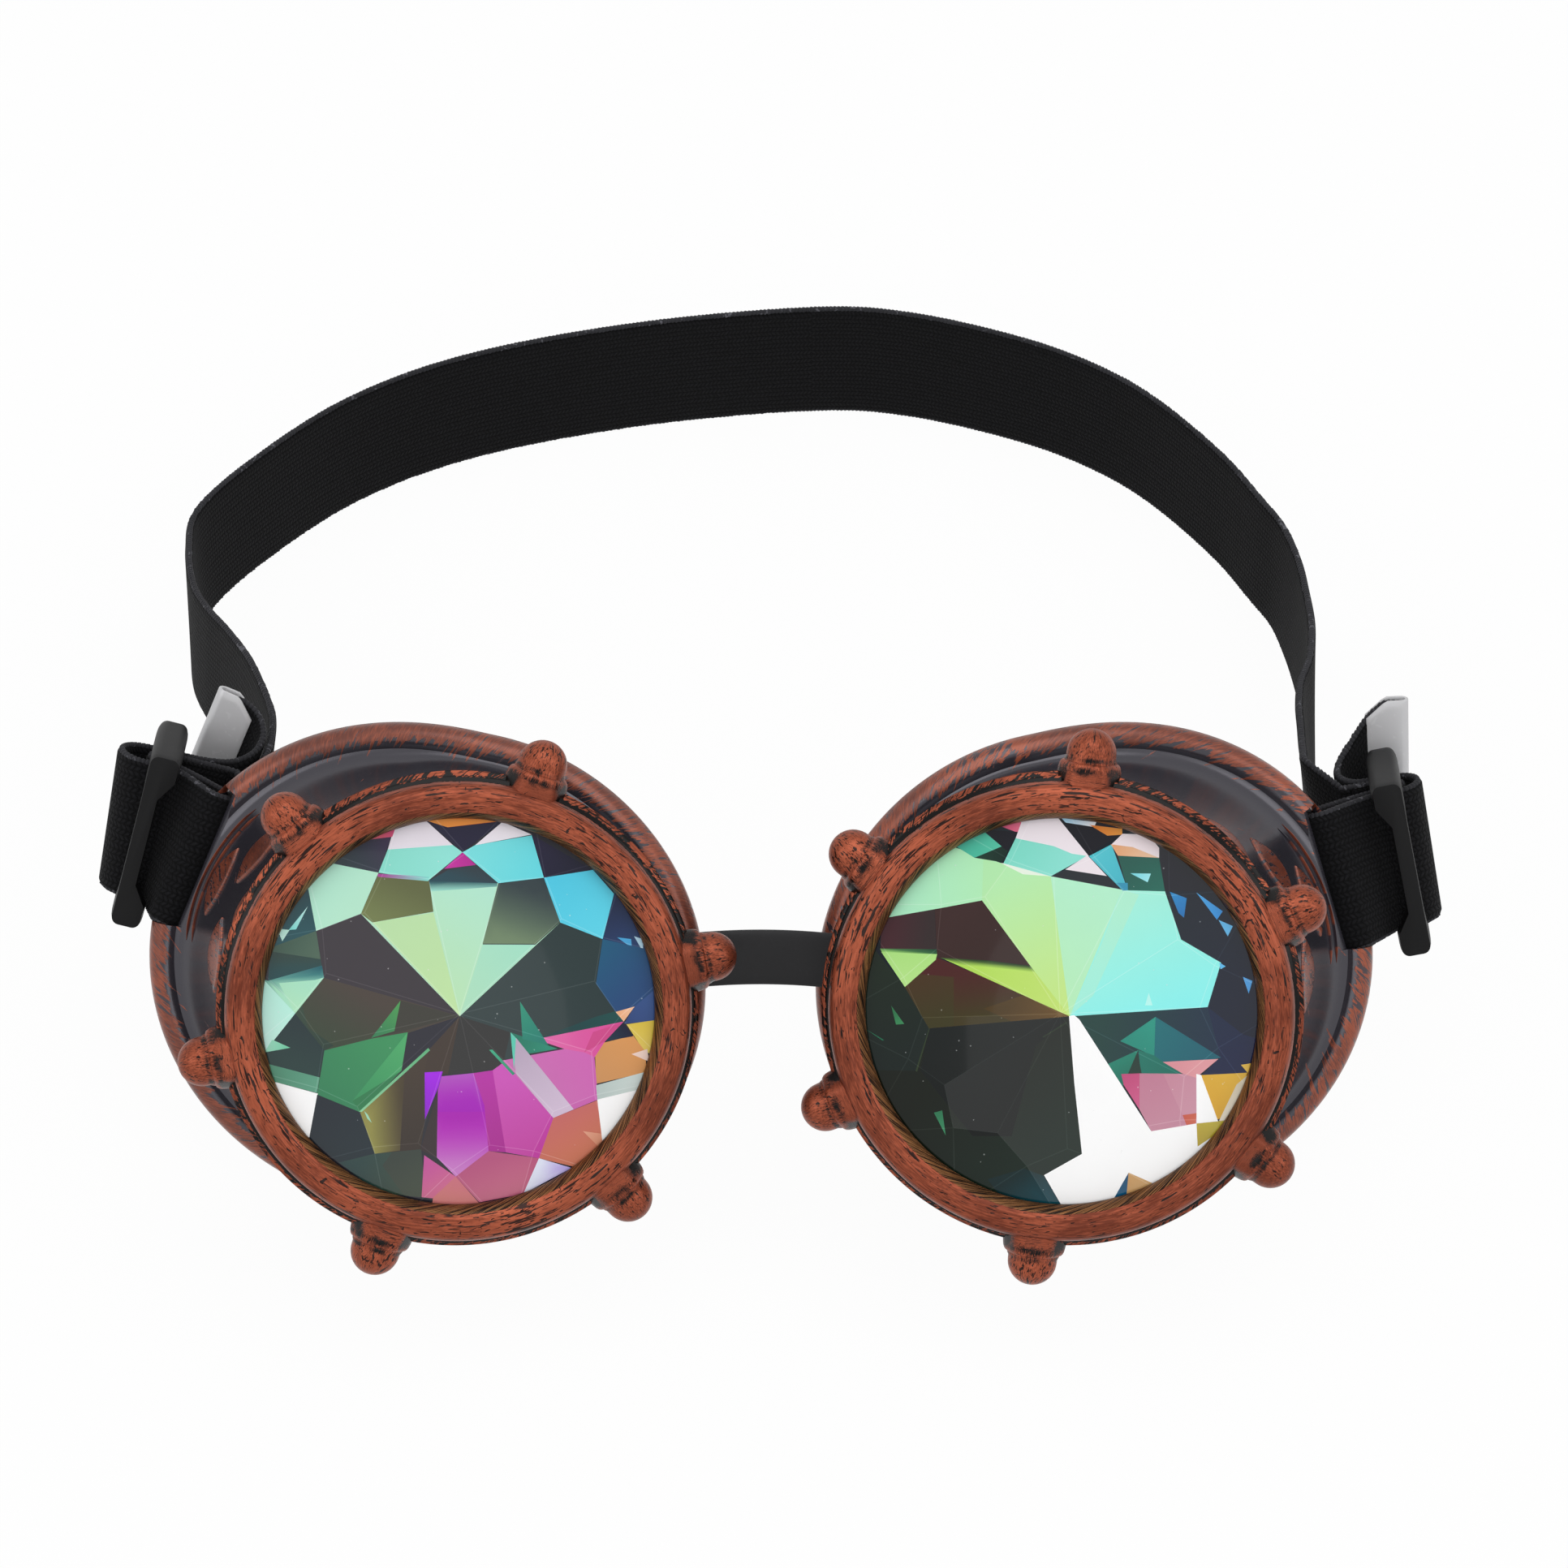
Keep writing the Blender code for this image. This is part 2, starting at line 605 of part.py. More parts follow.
def make_bezel(name, turn, parts, cutters, surface):
    bore = LENS_RADIUS + GAP
    seat = collar_front() - 2 * GAP
    outline = (
        (OPENING_RADIUS, 0.86 * LIP_THICK),
        (OPENING_RADIUS + 0.4 * LIP_ROUND, 0.5 * LIP_THICK),
        (OPENING_RADIUS + 2 * LIP_ROUND, 0.14 * LIP_THICK),
        ((OPENING_RADIUS + LIP_RADIUS) / 2, 0.0),
        (LIP_RADIUS - 2 * LIP_ROUND, 0.16 * LIP_THICK),
        (LIP_RADIUS - 0.5 * LIP_ROUND, 0.55 * LIP_THICK),
        (LIP_RADIUS, LIP_THICK),
        (LIP_RADIUS - GROOVE_DEPTH, LIP_THICK + GROOVE_WIDTH),
        (LIP_RADIUS - GROOVE_DEPTH, LIP_THICK + 2 * GROOVE_WIDTH),
        (SKIRT_RADIUS, LIP_THICK + 2.5 * GROOVE_WIDTH),
        (SKIRT_RADIUS, SKIRT_DEPTH - SKIRT_CHAMFER),
        (SKIRT_RADIUS - SKIRT_CHAMFER, SKIRT_DEPTH),
        (SKIRT_BORE, SKIRT_DEPTH),
        (SKIRT_BORE, seat),
        (bore, seat),
        (bore, LIP_THICK),
        (OPENING_RADIUS, LIP_THICK),
    )
    bezel = turned(name, outline, parts, surface)
    nuts = []
    for n in range(NUT_COUNT):
        angle = turn + math.tau * n / NUT_COUNT
        nuts += domed_nut(f"{name}_nut_{n}", angle, cutters)
    middle = (collar_front() + SKIRT_DEPTH) / 2
    half_turn = math.pi
    ridge = helix(f"{name}_thread", SKIRT_BORE, middle, half_turn, cutters)
    cut(bezel, nuts + [ridge], "UNION")
    shade(bezel, math.radians(32.0))
    return bezel


def domed_nut(name, angle, group):
    corner = NUT_FLATS / math.sqrt(3.0)
    frame = Matrix.Rotation(angle, 4, "Z") @ Matrix.Translation((0.0, 0.0, -NUT_DEPTH))
    frame = frame @ Matrix.Rotation(math.radians(90.0), 4, "Y")
    rings = []
    for height, size in (
        (NUT_FOOT, corner), (NUT_TOP - NUT_CHAMFER, corner), (NUT_TOP, corner - NUT_CHAMFER),
    ):
        ring = []
        for n in range(6):
            turn = math.tau * (n + 0.5) / 6
            ring.append(frame @ Vector((size * math.cos(turn), size * math.sin(turn), height)))
        rings.append(ring)
    bm = bmesh.new()
    loft(bm, rings, False, True)
    hexagon = finish_mesh(name, bm, group)
    bm = bmesh.new()
    bmesh.ops.create_uvsphere(bm, u_segments=DOME_STEPS, v_segments=DOME_RINGS, radius=DOME_RADIUS)
    centre = frame @ Matrix.Translation((0.0, 0.0, NUT_TOP + DOME_RISE))
    bmesh.ops.transform(bm, matrix=centre, verts=bm.verts)
    dome = finish_mesh(f"{name}_dome", bm, group)
    return [hexagon, dome]


def make_lens(name, parts, surface):
    front = LIP_THICK + GAP
    back = front + LENS_EDGE
    bm = bmesh.new()
    circles = (
        (LENS_RADIUS, back, ROUND_STEPS),
        (LENS_RADIUS, front + LENS_CHAMFER, ROUND_STEPS),
        (LENS_RADIUS - LENS_CHAMFER, front, ROUND_STEPS),
        (LENS_RADIUS * LENS_RING_SHARES[0], front - LENS_STEP, LENS_RING_COUNTS[0]),
        (LENS_RADIUS * LENS_RING_SHARES[1], front - LENS_STEP - LENS_CROWN / 2, LENS_RING_COUNTS[1]),
    )
    for radius, depth, count in circles:
        for n in range(count):
            angle = math.tau * n / count
            bm.verts.new((radius * math.cos(angle), radius * math.sin(angle), -depth))
    bm.verts.new((0.0, 0.0, -(front - LENS_STEP - LENS_CROWN)))
    bmesh.ops.convex_hull(bm, input=bm.verts)
    return finish_mesh(name, bm, parts, surface)


def make_seal(name, parts, surface):
    front = LIP_THICK + GAP + LENS_EDGE + GAP
    outer = LENS_RADIUS
    outline = (
        (outer - SEAL_WIDTH, front), (outer, front),
        (outer, front + SEAL_THICK), (outer - SEAL_WIDTH, front + SEAL_THICK),
    )
    return turned(name, outline, parts, surface)


def slider_frame(side):
    # Columns: outboard through the windows, back across the windows, and up along the bar.
    up = Vector((-side * SLIDER_LEAN[0], SLIDER_LEAN[1], SLIDER_LEAN[2])).normalized()
    rear = Vector((side * SLIDER_REAR[0], SLIDER_REAR[1], SLIDER_REAR[2]))
    rear = (rear - up * rear.dot(up)).normalized()
    out = rear.cross(up) * side
    out.normalize()
    offset = Vector((side * SLIDER_OFFSET[0], SLIDER_OFFSET[1], SLIDER_OFFSET[2]))
    centre = cup_frame(side, cup_height()) @ bar_middle(side) + offset
    return centre, out, rear, up


def make_slider(name, side, parts, cutters, surface):
    made = box(name, (SLIDER_THICK, SLIDER_WIDE, SLIDER_TALL), (0.0, 0.0, 0.0), parts, surface)
    middle = (SLIDER_BAR + WINDOW_WIDE) / 2
    tools = []
    for n, way in enumerate((-1, 1)):
        size = (2 * SLIDER_THICK, WINDOW_WIDE, SLIDER_WINDOW_TALL)
        tools.append(box(f"{name}_window_{n}", size, (0.0, way * middle, 0.0), cutters))
    cut(made, tools, "DIFFERENCE")
    soft = made.modifiers.new("edges", "BEVEL")
    soft.width = SLIDER_ROUND
    soft.segments = 2
    soft.limit_method = "ANGLE"
    soft.use_clamp_overlap = True
    apply_modifiers(made)
    shade(made, math.radians(40.0))
    centre, out, rear, up = slider_frame(side)
    turn = Matrix((out * side, rear, up)).transposed().to_4x4()
    return made, Matrix.Translation(centre) @ turn


def box(name, size, centre, group, surface=None):
    bm = bmesh.new()
    bmesh.ops.create_cube(bm, size=1.0)
    bmesh.ops.scale(bm, verts=bm.verts, vec=size)
    bmesh.ops.translate(bm, verts=bm.verts, vec=centre)
    return finish_mesh(name, bm, group, surface)


def touch_angle(point, centre, radius, way):
    # Angle on a circle where a line from the point just touches it.
    offset = point - centre
    return math.atan2(offset.y, offset.x) + way * math.acos(radius / offset.length)


def arc(centre, radius, first, last, steps):
    made = []
    for n in range(steps + 1):
        angle = first + (last - first) * n / steps
        made.append(Vector((centre[0] + radius * math.cos(angle), centre[1] + radius * math.sin(angle))))
    return made


def strap_end_route(side, label, cup):
    # Points as (outboard, back) in the slider's frame, each with its share of the rim's direction.
    centre, out, rear, up = slider_frame(side)
    bar = cup @ bar_middle(side)
    offset = bar - centre
    bead = Vector((offset.dot(out), offset.dot(rear)))
    quarter = math.pi / 2
    route = [(Vector((-HEADBAND_JOIN[label], INNER_LAYER)), 0.0)]
    route += [(Vector((-LAYER_FOOT, INNER_LAYER)), 0.0)]
    route += [(p, 0.0) for p in arc((INNER_TURN_OUT, 0.0), INNER_LAYER, quarter, -quarter, TURN_STEPS)]
    foot = Vector(REAR_LAYER_FOOT)
    route += [(foot, 0.1)]
    start = touch_angle(foot, bead, LOOP_RADIUS, 1)
    foot_front = Vector(FRONT_LAYER_FOOT)
    end = touch_angle(foot_front, bead, LOOP_RADIUS, -1)
    while end < start:
        end += math.tau
    route += [(p, 1.0) for p in arc(bead, LOOP_RADIUS, start, end, WRAP_STEPS)]
    route += [(foot_front, 0.1)]
    route += [(Vector((-0.3 * LAYER_FOOT, -OUTER_LAYER)), 0.0)]
    turn = arc((OUTER_TURN_OUT, 0.0), OUTER_LAYER, -quarter, quarter, TURN_STEPS + 2)
    route += [(p, 0.0) for p in turn]
    return route, bar, centre, out, rear, up


def strap_end_stations(side, label, cup):
    route, bar, centre, out, rear, up = strap_end_route(side, label, cup)
    bar_up = (cup.to_3x3() @ bar_direction(side)).normalized()
    drop = (bar - centre).dot(up)
    stations = []
    for point, share in route:
        lean = (up * (1.0 - share) + bar_up * share).normalized()
        place = centre + out * point.x + rear * point.y + up * (drop * share)
        place -= bar_up * (share * (place - bar).dot(bar_up))
        stations.append((place, lean, STRAP_WIDTH, STRAP_THICK))
    for outboard, back, rise in TAIL_ROUTE[label]:
        place = centre + out * outboard + rear * back + up * rise
        stations.append((place, up, STRAP_WIDTH, STRAP_THICK))
    return stations


def make_clip(name, stations, parts, surface):
    # A folded sheet over the end of the tail: two leaves and the fold between them.
    end, up = stations[-1][0], stations[-1][1]
    along = (end - stations[-2][0]).normalized()
    across = along.cross(up).normalized()
    half = STRAP_THICK / 2 + GAP + CLIP_SHEET / 2
    lift = CLIP_TALL / 2
    outline = [Vector((-CLIP_LONG, half))]
    for n in range(CLIP_BEND_STEPS + 1):
        turn = math.pi / 2 - math.pi * n / CLIP_BEND_STEPS
        outline.append(Vector((GAP + half * math.cos(turn), half * math.sin(turn))))
    outline.append(Vector((-CLIP_LONG, -half)))
    bm = bmesh.new()
    rows = []
    for point in outline:
        base = end + along * point.x + across * point.y
        rows.append((bm.verts.new(base - up * lift), bm.verts.new(base + up * lift)))
    for first, second in zip(rows, rows[1:]):
        bm.faces.new((first[0], second[0], second[1], first[1]))
    mesh = bpy.data.meshes.new(name)
    bm.to_mesh(mesh)
    bm.free()
    made = bpy.data.objects.new(name, mesh)
    parts.objects.link(made)
    thick = made.modifiers.new("sheet", "SOLIDIFY")
    thick.thickness = CLIP_SHEET
    thick.offset = 0.0
    thick.use_even_offset = True
    apply_modifiers(made)
    bm = bmesh.new()
    bm.from_mesh(made.data)
    bmesh.ops.recalc_face_normals(bm, faces=bm.faces)
    bm.to_mesh(made.data)
    bm.free()
    made.data.materials.append(surface)
    return made


def smooth_route(points, splits):
    # A smooth line through the points, with the same number of steps between each two.
    made = []
    last = len(points) - 1
    for n in range(last):
        four = [points[min(max(k, 0), last)] for k in (n - 1, n, n + 1, n + 2)]
        for step in range(splits):
            t = step / splits
            weights = (
                (-t + 2 * t * t - t ** 3) / 2, (2 - 5 * t * t + 3 * t ** 3) / 2,
                (t + 4 * t * t - 3 * t ** 3) / 2, (-t * t + t ** 3) / 2,
            )
            made.append(tuple(sum(w * p[k] for w, p in zip(weights, four)) for k in range(len(points[0]))))
    made.append(points[last])
    return made


def laid_route():
    # Where a slider stands elsewhere, the raised part of the route goes along with it.
    top = {LEFT: HEADBAND_ROUTE[0][2], RIGHT: HEADBAND_ROUTE[-1][2]}
    moved = {}
    for side in SIDES.values():
        laid = Vector((side * ROUTE_SLIDER[0], ROUTE_SLIDER[1], ROUTE_SLIDER[2]))
        moved[side] = slider_frame(side)[0] - laid
    route = []
    for x, y, z, lean_x, lean_y in HEADBAND_ROUTE:
        side = RIGHT if x > 0.0 else LEFT
        place = Vector((x, y, z)) + moved[side] * min(z / top[side], 1.0)
        route.append((*place, lean_x, lean_y))
    return route


def headband_stations():
    ends = {}
    for label, side in SIDES.items():
        centre, out, rear, up = slider_frame(side)
        start = centre - out * (HEADBAND_JOIN[label] + GAP) + rear * INNER_LAYER
        lead = start - out * HEADBAND_LEAD
        lean = (up.x / up.z, up.y / up.z)
        edge = Vector((0.0, 0.0, up.z * STRAP_WIDTH / 2))
        ends[label] = [(*(start - edge), *lean), (*(lead - edge), *lean)]
    inner = [ends["left"][1], *laid_route(), ends["right"][1]]
    route = [ends["left"][0], *smooth_route(inner, HEADBAND_SPLITS), ends["right"][0]]
    stations = []
    for x, y, z, lean_x, lean_y in route:
        up = Vector((lean_x, lean_y, 1.0)).normalized()
        middle = Vector((x, y, max(z, 0.0) + up.z * STRAP_WIDTH / 2))
        stations.append((middle, up, STRAP_WIDTH, STRAP_THICK))
    return stations


def nose_stations(cups):
    half = []
    for side in (LEFT, RIGHT):
        cup = cups[side]
        up = (cup.to_3x3() @ Vector((0.0, 1.0, 0.0))).normalized()
        end = []
        for radius, tall, thick in (
            (NOSE_STOP_RADIUS - NOSE_STOP_LONG, NOSE_STOP_TALL, NOSE_STOP_THICK),
            (NOSE_STOP_RADIUS, NOSE_STOP_TALL, NOSE_STOP_THICK),
            (NOSE_STOP_RADIUS + GAP, NOSE_TALL, NOSE_THICK),
            (NOSE_EXIT_RADIUS, NOSE_TALL, NOSE_THICK),
        ):
            place = cup @ Vector((-side * radius, NOSE_LIFT, -nose_depth()))
            end.append((place, up, tall, thick))
        half.append(end)
    left, right = half
    right.reverse()
    span = right[0][0] - left[-1][0]
    tilt = (left[-1][0] - left[-2][0]).normalized()
    middle = []
    steps = 6
    for n in range(1, steps):
        t = n / steps
        bow = tilt.y / tilt.x * span.x * t * (1 - t)
        place = left[-1][0] + span * t + Vector((0.0, bow, 0.0))
        up = left[-1][1].lerp(right[0][1], t).normalized()
        middle.append((place, up, NOSE_TALL, NOSE_THICK))
    return left + middle + right


def hinge_place(side, cup):
    return cup @ Vector((-side * NOSE_EXIT_RADIUS, NOSE_LIFT, -nose_depth()))


def cup_height():
    # Height of a cup's origin that puts the lowest point of its rim on the ground.
    frame = cup_frame(RIGHT, 0.0)
    lowest = 0.0
    for n in range(CUP_STEPS):
        angle = math.tau * n / CUP_STEPS
        for depth, radius in cup_section(angle):
            lowest = min(lowest, (frame @ cup_place(RIGHT, angle, depth, radius)).z)
    return -lowest


def empty(name, frame, parts, parent=None):
    made = bpy.data.objects.new(name, None)
    made.empty_display_size = BEAD_RADIUS
    parts.objects.link(made)
    put(made, frame, parent)
    return made


def put(thing, frame, parent):
    bpy.context.view_layer.update()
    if parent:
        thing.parent = parent
        thing.matrix_local = parent.matrix_world.inverted() @ frame
    else:
        thing.matrix_world = frame
    bpy.context.view_layer.update()


def main():
    clear_scene()
    parts = collection(NAME)
    cutters = collection("cutters")
    copper = material("rubbed_copper", COPPER, 0.38, 0.6)
    plastic = material("black_plastic", BLACK_PLASTIC, 0.45, 0.0)
    glass = material("coated_glass", GLASS_TINT, 0.05, 0.3)
    rubber = material("soft_black", SOFT_BLACK, 0.7, 0.0)
    elastic = material("knitted_elastic", ELASTIC_BLACK, 0.95, 0.0)
    slider_black = material("slider_black", BLACK_PLASTIC, 0.35, 0.0)
    nickel = material("nickel_clip", NICKEL, 0.3, 1.0)

    root = empty(NAME, Matrix.Identity(4), parts)
    height = cup_height()
    cups = {side: cup_frame(side, height) for side in SIDES.values()}
    for label, side in SIDES.items():
        frame = cups[side]
        pivot = Matrix.Translation(hinge_place(side, frame)) @ frame.to_3x3().to_4x4()
        hinge = empty(f"{label}_cup_hinge", pivot, parts, root)
        put(make_cup_body(f"{label}_eyecup", side, parts, cutters, plastic), frame, hinge)
        put(make_bezel(f"{label}_bezel", NUT_TURN[label], parts, cutters, copper), frame, hinge)
        put(make_lens(f"{label}_crystal_lens", parts, glass), frame, hinge)
        put(make_seal(f"{label}_lens_seal", parts, rubber), frame, hinge)
        slider, place = make_slider(f"{label}_slider", side, parts, cutters, slider_black)
        put(slider, place, hinge)
        stations = strap_end_stations(side, label, frame)
        put(ribbon(f"{label}_strap_end", stations, parts, elastic), Matrix.Identity(4), hinge)
        put(make_clip(f"{label}_strap_clip", stations, parts, nickel), Matrix.Identity(4), hinge)
    put(ribbon("headband", headband_stations(), parts, elastic), Matrix.Identity(4), root)
    put(ribbon("nose_strap", nose_stations(cups), parts, rubber), Matrix.Identity(4), root)


main()
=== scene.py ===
# Costume goggles: screw-on bezels with domed nuts, faceted lenses, a nose strap and an elastic headband.
# Metres, +Z up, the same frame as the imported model. A cup's own frame: +X right, +Y up across the
# lens, +Z out along the lens axis, the front plane of the bezel's lip at zero.

import math
import random

import bmesh
import bpy
from mathutils import Matrix, Vector
from mathutils.geometry import delaunay_2d_cdt


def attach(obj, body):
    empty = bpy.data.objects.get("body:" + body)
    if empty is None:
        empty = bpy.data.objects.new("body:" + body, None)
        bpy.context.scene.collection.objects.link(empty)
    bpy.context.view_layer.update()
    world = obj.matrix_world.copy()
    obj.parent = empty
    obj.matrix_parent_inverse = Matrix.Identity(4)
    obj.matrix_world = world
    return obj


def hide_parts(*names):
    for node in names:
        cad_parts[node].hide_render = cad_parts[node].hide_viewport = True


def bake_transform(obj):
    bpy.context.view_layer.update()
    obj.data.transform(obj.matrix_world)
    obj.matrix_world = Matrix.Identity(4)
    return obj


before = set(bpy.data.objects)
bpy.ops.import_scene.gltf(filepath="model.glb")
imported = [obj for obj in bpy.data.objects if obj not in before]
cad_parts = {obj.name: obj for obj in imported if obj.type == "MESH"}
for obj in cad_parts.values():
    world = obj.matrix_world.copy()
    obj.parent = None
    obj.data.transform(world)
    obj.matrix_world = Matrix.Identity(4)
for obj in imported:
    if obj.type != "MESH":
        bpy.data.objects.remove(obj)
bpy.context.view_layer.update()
sides = {"left": -1, "right": 1}
mm = 0.001

placing = {
    "spread": 0.0366,  # half the distance between the lens middles
    "back": -0.0731,
    "height": 0.04360613,
    "raise": math.radians(37.0),  # how far the lenses lean back
    "toe": math.radians(7.8),
}


def cupFrame(side):
    place = Matrix.Translation((side * placing["spread"], placing["back"], placing["height"]))
    toe = Matrix.Rotation(-side * placing["toe"], 4, "Z")
    return place @ toe @ Matrix.Rotation(math.radians(90.0) - placing["raise"], 4, "X")


def cupPlace(side, angle, depth, radius):
    # A place in a cup's frame; the angle runs from its temple, the depth back from the lip's front.
    return Vector((side * radius * math.cos(angle), radius * math.sin(angle), -depth))


# Numbers and lines


def toLinear(value):
    return value / 12.92 if value <= 0.04045 else ((value + 0.055) / 1.055) ** 2.4


def hexShares(text):
    return tuple(int(text[n:n + 2], 16) / 255 for n in (0, 2, 4))


def hexColour(text):
    return tuple(toLinear(share) for share in hexShares(text)) + (1.0,)


def smoothStep(low, high, value):
    t = min(max((value - low) / (high - low), 0.0), 1.0)
    return t * t * (3 - 2 * t)


def softPower(value, power):
    # A power that keeps the sign; below one it squares off a circle.
    return math.copysign(abs(value) ** power, value)


def turns(count):
    return [math.tau * n / count for n in range(count)]


def smoothLine(points, splits):
    # A smooth line through the points.
    made = []
    last = len(points) - 1
    for n in range(last):
        four = [points[min(max(k, 0), last)] for k in (n - 1, n, n + 1, n + 2)]
        for step in range(splits):
            t = step / splits
            weights = ((-t + 2 * t * t - t ** 3) / 2, (2 - 5 * t * t + 3 * t ** 3) / 2,
                       (t + 4 * t * t - 3 * t ** 3) / 2, (-t * t + t ** 3) / 2)
            made.append(tuple(sum(w * c for w, c in zip(weights, column)) for column in zip(*four)))
    made.append(tuple(points[last]))
    return made


def lengthsAlong(points, start=0.0):
    lengths = [start]
    for first, second in zip(points, points[1:]):
        lengths.append(lengths[-1] + math.dist(first, second))
    return lengths


def nearestOn(points, spot):
    # Which point of a line is nearest to the spot, and how far off it is.
    near = min(range(len(points)), key=lambda n: math.dist(points[n], spot))
    return near, math.dist(points[near], spot)


# Mesh helpers


def newObject(name, mesh):
    made = bpy.data.objects.new(name, mesh)
    bpy.context.scene.collection.objects.link(made)
    return made


def setMaterial(thing, material):
    thing.data.materials.clear()
    thing.data.materials.append(material)


def shadeBy(thing, degrees):
    thing.data.shade_smooth()
    thing.data.set_sharp_from_angle(angle=math.radians(degrees))


def fromBmesh(name, bm, smooth=None, recalc=True, merge=True):
    # An object from the bmesh, shaded smooth up to this many degrees.
    if merge:
        bmesh.ops.remove_doubles(bm, verts=bm.verts, dist=0.000005)
    if recalc:
        bmesh.ops.recalc_face_normals(bm, faces=bm.faces)
    mesh = bpy.data.meshes.new(name)
    bm.to_mesh(mesh)
    bm.free()
    made = newObject(name, mesh)
    if smooth:
        shadeBy(made, smooth)
    return made


def skin(bm, rings, around=True, closed=False, caps=False):
    # Joins rings of equal point counts, in order.
    made = [[bm.verts.new(point) for point in ring] for ring in rings]
    count = len(made[0])
    for n in range(len(made) if closed else len(made) - 1):
        first, second = made[n], made[(n + 1) % len(made)]
        for k in range(count if around else count - 1):
            j = (k + 1) % count
            bm.faces.new((first[k], first[j], second[j], second[k]))
    if caps:
        bm.faces.new(made[0])
        bm.faces.new(made[-1])
    return made


def skinned(name, rings, smooth=None, **form):
    bm = bmesh.new()
    skin(bm, rings, **form)
    return fromBmesh(name, bm, smooth)


def boxBmesh(size, middle):
    bm = bmesh.new()
    bmesh.ops.create_cube(bm, size=1.0)
    bmesh.ops.scale(bm, verts=bm.verts, vec=size)
    bmesh.ops.translate(bm, verts=bm.verts, vec=middle)
    return bm


def addModifier(thing, kind, **settings):
    step = thing.modifiers.new(kind.lower(), kind)
    for name, value in settings.items():
        setattr(step, name, value)
    return step


def applied(thing):
    # Everything the modifiers make, as a plain mesh on the same object.
    bpy.context.view_layer.update()
    graph = bpy.context.evaluated_depsgraph_get()
    mesh = bpy.data.meshes.new_from_object(thing.evaluated_get(graph))
    thing.modifiers.clear()
    old = thing.data
    thing.data = mesh
    mesh.name = thing.name
    bpy.data.meshes.remove(old)
    return thing


def cutBy(thing, tool):
    # Takes the tool's shape out of the thing, and removes the tool.
    addModifier(thing, "BOOLEAN", operation="DIFFERENCE", solver="EXACT", object=tool)
    applied(thing)
    bpy.data.objects.remove(tool)


def joined(name, things):
    # One object from several, with their material slots merged.
    bpy.ops.object.select_all(action="DESELECT")
    for thing in things:
        thing.select_set(True)
    bpy.context.view_layer.objects.active = things[0]
    bpy.ops.object.join()
    things[0].name = name
    things[0].data.name = name
    return things[0]


def vectorAttribute(thing, name, values):
    made = thing.data.attributes.new(name, "FLOAT_VECTOR", "POINT")
    made.data.foreach_set("vector", [c for value in values for c in value])


def finished(thing, body, slotName, *replaced):
    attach(thing, body)
    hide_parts(*replaced)
    return thing


# Node helpers. Those that take sockets add their node to the sockets' own tree.


def feed(socket, value):
    # Wires the value to the socket if it is one itself, or else sets it.
    if isinstance(value, bpy.types.NodeSocket):
        socket.id_data.links.new(value, socket)
    else:
        socket.default_value = value


def addNode(tree, kind, inputs=(), **settings):
    node = tree.nodes.new(kind)
    for name, value in settings.items():
        setattr(node, name, value)
    for name, value in dict(inputs).items():
        feed(node.inputs[name], value)
    return node


def outOf(tree, kind, inputs=(), **settings):
    # The first output of a new node.
    return addNode(tree, kind, inputs, **settings).outputs[0]


def spaced(values):
    # Keyword names as the names of sockets.
    return {label.replace("_", " "): value for label, value in values.items()}


def mathNode(operation, *values, clamp=False):
    tree = next(value.id_data for value in values if isinstance(value, bpy.types.NodeSocket))
    return outOf(tree, "ShaderNodeMath", enumerate(values), operation=operation, use_clamp=clamp)


def times(first, second, clamp=False):
    return mathNode("MULTIPLY", first, second, clamp=clamp)


def plus(first, second, clamp=False):
    return mathNode("ADD", first, second, clamp=clamp)


def minus(first, second):
    return mathNode("SUBTRACT", first, second)


def larger(first, second):
    return mathNode("MAXIMUM", first, second)


def centred(value, factor):
    return times(minus(value, 0.5), factor)


def stepNode(value, low, high):
    return outOf(value.id_data, "ShaderNodeMapRange", {"Value": value, "From Min": low, "From Max": high},
                 interpolation_type="SMOOTHSTEP")


def mixColour(factor, first, second):
    return addNode(factor.id_data, "ShaderNodeMix", {0: factor, 6: first, 7: second},
                   data_type="RGBA", clamp_factor=True).outputs[2]


def noiseNode(vector, scale, detail=3.0, roughness=0.55, distortion=0.0):
    return outOf(vector.id_data, "ShaderNodeTexNoise", {
        "Vector": vector, "Scale": scale, "Detail": detail, "Roughness": roughness, "Distortion": distortion})


def splitNode(vector):
    return addNode(vector.id_data, "ShaderNodeSeparateXYZ", {"Vector": vector}).outputs


def socketKind(value):
    if isinstance(value, float):
        return "NodeSocketFloat"
    return "NodeSocketVector" if len(value) == 3 else "NodeSocketColor"


def shaderGroup(name, inputs, outputs):
    # A node group with these sockets, named with their first values, and its inputs.
    tree = bpy.data.node_groups.new(name, "ShaderNodeTree")
    for way, sockets in (("INPUT", inputs), ("OUTPUT", outputs)):
        for label, value in sockets.items():
            socket = tree.interface.new_socket(name=label, in_out=way, socket_type=socketKind(value))
            socket.default_value = value
    return tree, addNode(tree, "NodeGroupInput").outputs


def placedGroup(tree, group, **values):
    return addNode(tree, "ShaderNodeGroup", spaced(values), node_tree=group).outputs


def objectPlace(tree):
    return addNode(tree, "ShaderNodeTexCoord").outputs["Object"]


def attributeNode(tree, name, output="Vector"):
    return addNode(tree, "ShaderNodeAttribute", attribute_name=name).outputs[output]


def newMaterial(name, **settings):
    # A Principled material, its tree and its shader; settings are the shader's own plain values.
    made = bpy.data.materials.new(name)
    made.use_nodes = True
    surface = made.node_tree.nodes["Principled BSDF"]
    for label, value in spaced(settings).items():
        surface.inputs[label].default_value = value
    return made, made.node_tree, surface


